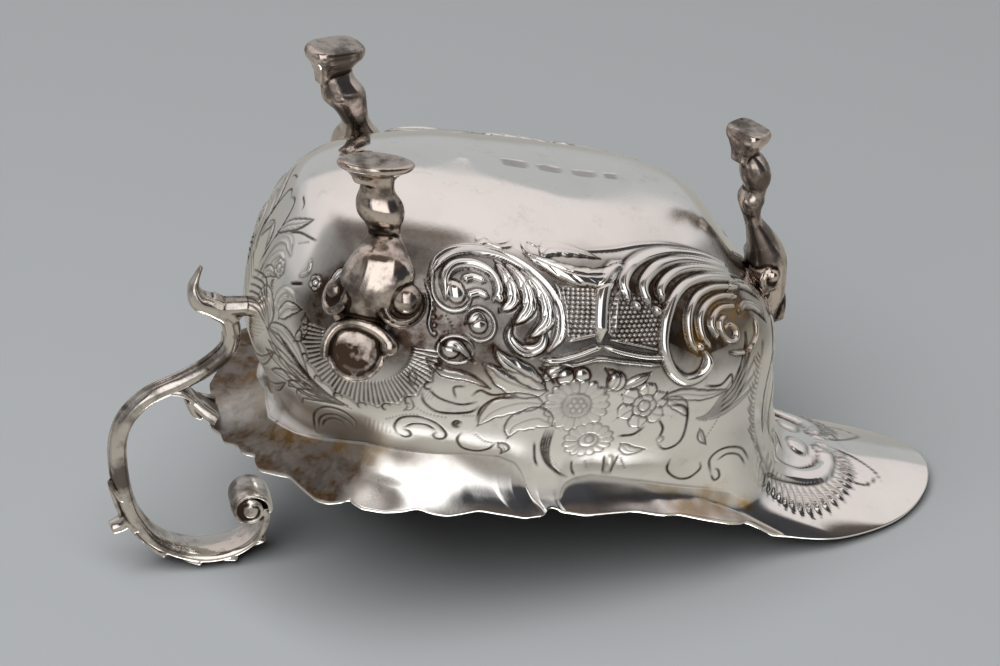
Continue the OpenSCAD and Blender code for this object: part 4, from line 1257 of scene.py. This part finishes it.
def roll(c, x, z, half_wide=3.5):
    """The handle's end, a band rolled in on itself and shown on both cheeks."""
    turn = np.radians(np.linspace(0, 470, 60))
    r = np.linspace(4.0, 1.7, 60)
    c.tube(np.stack([x + r * np.cos(turn), 0 * turn, z - r * np.sin(turn), 7.8 + 0 * turn,
                     1.25 - .2 * turn / 8], 1), square=3, steps=2)
    c.disc([[2.6, -half_wide], [2.6, half_wide]], turn=[[1, 0, 0], [0, 0, 1], [0, -1, 0]], at=(x, 0, z))
    for s in (-1, 1):
        c.disc([[1.3, -.4], [1.5, .2], [1.3, .5]], turn=[[1, 0, 0], [0, 0, s], [0, -s, 0]],
               at=(x, s * 3.6, z), sides=24)


def rod_part(first, last, count):
    """Points, directions and outward normals along the handle, between two rows of ROD."""
    p = through(np.array(ROD), np.linspace(first, last, count))
    run = unit(np.gradient(p[:, :3], axis=0))
    return p, run, np.stack([-run[:, 2], np.zeros(count), run[:, 0]], 1)


def top_leaf(c):
    """Leaf along the top of the handle, with a rib and side lobes."""
    spine, run, up = rod_part(12.6, 19.2, 12)
    rib = spine[:, :3] + up * (spine[:, 4:5] / 2 + .3)
    c.wire(rib, .8, .6)
    for s in (-1, 1):
        for k in range(0, 11, 2):
            p = rib[k] - up[k] * .5
            w = spine[k, 3] / 2
            c.wire([p, p + run[k] * 1.8 + [0, s * w * .5, 0] - up[k] * .2,
                    p + run[k] * 3.8 + [0, s * (w - .5), 0] - up[k] * .8], 1.0, .8)


def handle_piece():
    """The cast handle with its stub, spur, leaf and rolled end."""
    c = Casting()
    c.tube(ROD, square=2.2)
    roll(c, -49.4, HT - 11.8)
    # the stub that joins it to the bowl, and the spur
    c.tube([[-62, 0, 46, 4.4, 4.2], [-58, 0, 45.6, 4, 4], [-53, 0, 45, 3.8, 3.8]], steps=4)
    c.wire([[-71.8, 0, 94], [-73.6, 0, 96.4], [-75.6, 0, 97.6]], 2.1, 1.5)
    top_leaf(c)
    # fillet where rod and stub meet, and a bead along the rod's outer side
    c.wire([[-63.6, 0, 45], [-60.4, 0, 46.4], [-58.2, 0, 48.4]], 2.3, 2.1)
    middle, _, out = rod_part(5.5, 12.5, 30)
    c.wire(middle[:, :3] + 1.55 * out, .55)
    return c.build("handle_cast", voxel=0.22)


def bracket_piece():
    """The short strap between the handle and the flare."""
    c = Casting()
    c.tube([[-70.6, 0, 65.4, 3.2, 1.6], [-68, 0, 64.9, 3.8, 1.8], [-65.4, 0, 65.2, 4.4, 1.8],
            [-62.4, 0, 67.4, 4.8, 1.8], [-58.6, 0, 69.6, 5.6, 1.4]], square=2.4)
    # the strap's end rolled under, and its spread foot on the flare
    c.tube([[-64.6, 0, 66.4, 4.8, 2.2], [-63, 0, 69, 5, 2.4], [-61.6, 0, 69.9, 5, 2]], square=2.4)
    for s in (-1, 1):
        c.wire([[-64, s * 1.2, 66.6], [-61.6, s * 2.4, 68.2], [-59, s * 3.6, 69.4]], 1.0, 1.2)
    return c.build("bracket_cast", voxel=0.2)


handle = handle_piece()
bracket = bracket_piece()


# ---------------------------------------------------------------- materials
class Nodes:
    """Builder for one node tree."""

    def __init__(self, owner):
        owner.use_nodes = True
        self.tree = owner.node_tree
        self.tree.nodes.clear()

    def add(self, kind, inputs=(), **settings):
        """A node with its settings, and its inputs set or linked: pairs of (name, value)."""
        node = self.tree.nodes.new(kind)
        for name, value in settings.items():
            setattr(node, name, value)
        for name, value in inputs:
            if isinstance(value, bpy.types.NodeSocket):
                self.tree.links.new(value, node.inputs[name])
            else:
                node.inputs[name].default_value = value
        return node

    def ramp(self, value, lo, hi, v0=0.0, v1=1.0, kind="SMOOTHSTEP"):
        """A value that changes from v0 at lo to v1 at hi."""
        ends = (("Value", value), ("From Min", lo), ("From Max", hi), ("To Min", v0), ("To Max", v1))
        return self.add("ShaderNodeMapRange", ends, interpolation_type=kind).outputs["Result"]

    def math(self, operation, x, y, clamp=False):
        """The sum or product of two values."""
        both = ((0, x), (1, y))
        return self.add("ShaderNodeMath", both, operation=operation, use_clamp=clamp).outputs[0]

    def mix(self, mask, under, over):
        """One colour laid over another where the mask is 1."""
        layers = (("Factor", mask), ("A", under), ("B", over))
        return self.add("ShaderNodeMix", layers, data_type="RGBA").outputs["Result"]


def silver(name, metal, dark, rough, grime, speck, bump, warm=0.0, size=38, cloud=(0.4, 0.72)):
    """Worn silver: bright metal, brown tarnish in hollows, fine rubbing marks; on the bowl the dirt
    attribute also paints dark reflections on the flare.
    """
    m = bpy.data.materials.new(name)
    nodes = Nodes(m)
    place = nodes.add("ShaderNodeTexCoord").outputs["Object"]

    def grain(scale, detail, roughness=0.6):
        """Noise, its scale counted per metre."""
        look = (("Vector", place), ("Scale", scale), ("Detail", detail), ("Roughness", roughness))
        return nodes.add("ShaderNodeTexNoise", look).outputs["Fac"]

    def marked(attribute):
        """The number that the mesh gives at each vertex."""
        return nodes.add("ShaderNodeAttribute", attribute_name=attribute).outputs["Fac"]

    broad, mid, fine = grain(size, 4), grain(210, 5, 0.7), grain(1300, 4, 0.7)
    spots = nodes.math("MULTIPLY", nodes.ramp(mid, 0.55, 0.72), speck)
    clouds = nodes.math("MULTIPLY", nodes.ramp(broad, *cloud), grime * 0.5)
    # dirt: tarnish in hollows, and on the bowl also painted dark reflections on the flare
    hollow = nodes.math("MULTIPLY", marked("dirt"), nodes.ramp(mid, 0.38, 0.6, 0.84, 1.0))
    amount = nodes.math("ADD", hollow, nodes.math("ADD", spots, clouds), True)
    colour = nodes.mix(amount, (*metal, 1), (*dark, 1))
    if warm:
        stains = nodes.math("MULTIPLY", marked("tint"), nodes.ramp(mid, .35, .6))
        golden = nodes.math("ADD", stains, nodes.ramp(grain(60, 3), 0.55, 0.8, 0, warm), True)
        colour = nodes.mix(golden, colour, (0.72, 0.45, 0.14, 1))
    wear = nodes.math("ADD", nodes.math("MULTIPLY", amount, 0.3),
                      nodes.math("MULTIPLY", marked("satin"), 0.24))
    roughness = nodes.math("ADD", nodes.ramp(fine, 0.3, 0.7, rough * 0.75, rough * 1.3), wear)
    height = nodes.math("ADD", mid, nodes.math("MULTIPLY", fine, 0.4))
    rubbed = nodes.add("ShaderNodeBump", (("Strength", bump), ("Distance", 0.00006), ("Height", height)))
    shader = nodes.add("ShaderNodeBsdfPrincipled", (
        ("Metallic", 1.0), ("Base Color", colour), ("Roughness", roughness),
        ("Normal", rubbed.outputs["Normal"])))
    nodes.add("ShaderNodeOutputMaterial", (("Surface", shader.outputs["BSDF"]),))
    return m


raised = silver("silver_raised", (0.9, 0.885, 0.86), (0.06, 0.038, 0.028), rough=0.07, grime=0.2,
                speck=0.12, bump=.12, warm=.1)
cast = silver("silver_cast", (0.61, 0.53, 0.475), (0.035, 0.023, 0.016), rough=0.1, grime=1.6,
              speck=0.5, bump=.35, size=130, cloud=(.43, .6))
grip = silver("silver_grip", (0.62, 0.58, 0.54), (0.045, 0.03, 0.022), rough=0.1, grime=1.6,
              speck=0.4, bump=.3, size=110, cloud=(.45, .63))
for piece, node, finish, material in (
        (body, "body", "raised_silver", raised), (leg_left, "leg_rear_left", "cast_silver", cast),
        (leg_right, "leg_rear_right", "cast_silver", cast), (leg_front, "leg_front", "cast_silver", cast),
        (handle, "handle_scroll", "handle_silver", grip),
        (bracket, "handle_bracket", "handle_silver", grip)):
    piece.data.materials.append(material)
    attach(piece, "root")
    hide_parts(node)

# ---------------------------------------------------------------- camera and stage
# the camera's height over the table; the boat's turn on the table and its tilt, nose down
EL, TURN, TILT = np.radians(32.87), np.radians(-11.59), np.radians(10.63)
AIM = np.array([-11.21, 0.0, 48.65])
AWAY = 700
FLAT = np.array([np.cos(TURN), -np.sin(TURN), 0])
UPRIGHT = np.array([0.0, 0.0, 1.0])
TABLE_X = np.cos(TILT) * FLAT - np.sin(TILT) * UPRIGHT
TABLE_Z = -np.cos(TILT) * UPRIGHT - np.sin(TILT) * FLAT
TABLE = np.stack([TABLE_X, np.cross(TABLE_Z, TABLE_X), TABLE_Z], 1)


def to_row(p):
    """A point of the table's frame (right, away, up; mm from the aim) in the row frame, metres."""
    return Vector((AIM + TABLE.T @ np.array(p, float)) * MM)


def axis_row(p):
    """A direction of the table's frame in the row frame."""
    return TABLE.T @ np.array(p, float)


def add_camera():
    """A long lens at the photograph's angle, over the table on which the boat lies upside down."""
    right = axis_row([1, 0, 0])
    ahead = axis_row([0, np.cos(EL), -np.sin(EL)])
    up = axis_row([0, np.sin(EL), np.cos(EL)])
    cam = bpy.data.cameras.new("camera")
    cam.lens = 129.8
    cam.sensor_width = 36.0
    cam.clip_start = 0.01
    cam.clip_end = 50
    ob = bpy.data.objects.new("camera", cam)
    place = (AIM - ahead * AWAY) * MM
    ob.matrix_world = Matrix([[*row, at] for row, at in zip(np.stack([right, up, -ahead], 1), place)]
                             + [[0, 0, 0, 1]])
    bpy.context.scene.collection.objects.link(ob)
    bpy.context.scene.camera = ob


def floor(name, centre, ax, ay, size, colour):
    """Flat stage seen from its front only."""
    me = bpy.data.meshes.new(name)
    ax, ay, c0 = np.array(ax), np.array(ay), np.array(centre)
    me.from_pydata([tuple(c0 + size * (i * ax + j * ay)) for i, j in
                    ((-1, -1), (1, -1), (1, 1), (-1, 1))], [], [(0, 1, 2, 3)])
    ob = bpy.data.objects.new(name, me)
    bpy.context.scene.collection.objects.link(ob)
    m = bpy.data.materials.new(name)
    nodes = Nodes(m)
    front = nodes.add("ShaderNodeBsdfPrincipled", (
        ("Base Color", (*colour, 1)), ("Roughness", 0.9), ("Specular IOR Level", 0.1)))
    back = nodes.add("ShaderNodeBsdfTransparent")
    behind = nodes.add("ShaderNodeNewGeometry").outputs["Backfacing"]
    shown = nodes.add("ShaderNodeMixShader", (
        (0, behind), (1, front.outputs["BSDF"]), (2, back.outputs["BSDF"])))
    nodes.add("ShaderNodeOutputMaterial", (("Surface", shown.outputs[0]),))
    me.materials.append(m)
    ob.visible_glossy = False
    ob.visible_diffuse = False
    ob.visible_shadow = False
    ob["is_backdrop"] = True


def add_floors(gap=0.0004, reach=4.0):
    """The table that the boat lies on upside down, and the ground that it stands on."""
    points = np.concatenate([np.array([v.co[:] for v in ob.data.vertices])
                             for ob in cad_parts.values()])
    up = axis_row([0, 0, 1])
    lowest = float((points @ up).min())
    floor("floor_table", up * (lowest - gap), axis_row([1, 0, 0]), axis_row([0, 1, 0]), reach,
          (0.47, 0.48, 0.485))
    floor("floor_upright", (0, 0, -gap), (1, 0, 0), (0, 1, 0), reach, (0.55, 0.55, 0.55))


def soft_light(name, at, power_w, size, colour=(1, 1, 1), mirrored=False):
    """Square light at a place of the table's frame, facing the boat; mirrored shows it in the silver."""
    li = bpy.data.lights.new(name, "AREA")
    li.energy = power_w
    li.shape = "RECTANGLE"
    li.size = size
    li.size_y = size
    li.color = colour
    ob = bpy.data.objects.new(name, li)
    p = to_row(at)
    ob.location = p
    ob.rotation_euler = (p - to_row((0, 0, 0))).to_track_quat("Z", "Y").to_euler()
    bpy.context.scene.collection.objects.link(ob)
    ob.visible_glossy = mirrored


def add_lights():
    """Soft lights for the boat on the table, and others for it standing on its feet."""
    soft_light("overhead", (-300, -560, 1400), 30, 1.6, (0.97, 0.985, 1.0))
    soft_light("camera_side", (-500, -1400, 1200), 3.6, 1.0, (1.0, 0.99, 0.98))
    # the other way up: a light over the rim, and a weaker one all round it
    soft_light("over_rim", (-60, 40, -1500), 13, 1.0, mirrored=True)
    day = bpy.data.objects.new("rim_day", bpy.data.lights.new("rim_day", "SUN"))
    day.data.energy = 1.9
    day.data.angle = np.radians(60)
    day.visible_glossy = False
    bpy.context.scene.collection.objects.link(day)


def studio():
    """The room that the silver mirrors, coloured by the direction in the table's frame."""
    world = bpy.data.worlds.new("studio")
    bpy.context.scene.world = world
    nodes = Nodes(world)
    looking = nodes.add("ShaderNodeTexCoord").outputs["Generated"]
    right, away, up = [
        nodes.add("ShaderNodeVectorMath", ((0, looking), (1, tuple(axis_row(axis)))),
                  operation="DOT_PRODUCT").outputs["Value"] for axis in np.eye(3)]

    def by_height(stops):
        """Colours from rows of (height from -1 to 1, colour)."""
        r = nodes.add("ShaderNodeValToRGB", (("Fac", nodes.ramp(up, -1, 1, kind="LINEAR")),))
        r.color_ramp.interpolation = "EASE"
        e = r.color_ramp.elements
        while len(e) > 1:
            e.remove(e[-1])
        for k, (height, colour) in enumerate(stops):
            stop = e[0] if k == 0 else e.new((height + 1) / 2)
            stop.position = (height + 1) / 2
            stop.color = (*colour, 1)
        return r.outputs["Color"]

    def all_of(first, *others):
        """Product of masks."""
        for other in others:
            first = nodes.math("MULTIPLY", first, other)
        return first

    # beyond the object: pale wall low down, broad pinkish canopy above
    far = by_height([(-1, (.42, .40, .36)), (-.25, (.40, .39, .355)), (-.02, (.40, .40, .39)),
                     (.2, (.58, .565, .56)), (.4, (.74, .70, .69)), (1, (.86, .79, .77))])
    straight_on = all_of(nodes.ramp(away, .72, .77), nodes.ramp(up, -.1, .1))
    far = nodes.mix(straight_on, far, (.49, .50, .505, 1))
    # the camera's side: dim room with one tall white window and a pale left wall
    near = by_height([(-1, (.50, .48, .43)), (-.6, (.56, .54, .49)), (-.3, (.52, .50, .46)),
                      (-.1, (.36, .345, .32)), (.04, (.06, .062, .07)), (.5, (.05, .05, .055)),
                      (.75, (.12, .095, .08)), (1, (.14, .11, .09))])
    left_wall = all_of(nodes.ramp(right, -.45, -.65), nodes.ramp(up, -.05, .15))
    near = nodes.mix(left_wall, near, (.42, .41, .40, 1))
    window = all_of(nodes.ramp(right, -.42, -.28), nodes.ramp(right, .53, .38),
                    nodes.ramp(up, -.14, .04), nodes.ramp(up, .93, .86))
    near = nodes.mix(window, near, (1.7, 1.68, 1.66, 1))
    sky = nodes.add("ShaderNodeBackground", (
        ("Color", nodes.mix(nodes.ramp(away, -.05, .06), near, far)), ("Strength", 1.0)))
    nodes.add("ShaderNodeOutputWorld", (("Surface", sky.outputs[0]),))
    world.cycles_visibility.diffuse = False


add_camera()
add_floors()
add_lights()
studio()
bpy.context.scene.view_settings.view_transform = "Standard"
bpy.context.scene.cycles.caustics_reflective = False


def plain(x):
    """Nested lists of plain numbers."""
    return [plain(v) for v in x] if hasattr(x, "__len__") else float(x)


bpy.context.view_layer.update()
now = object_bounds()
{"cad": plain(BOUNDS), "visual": plain(now)}
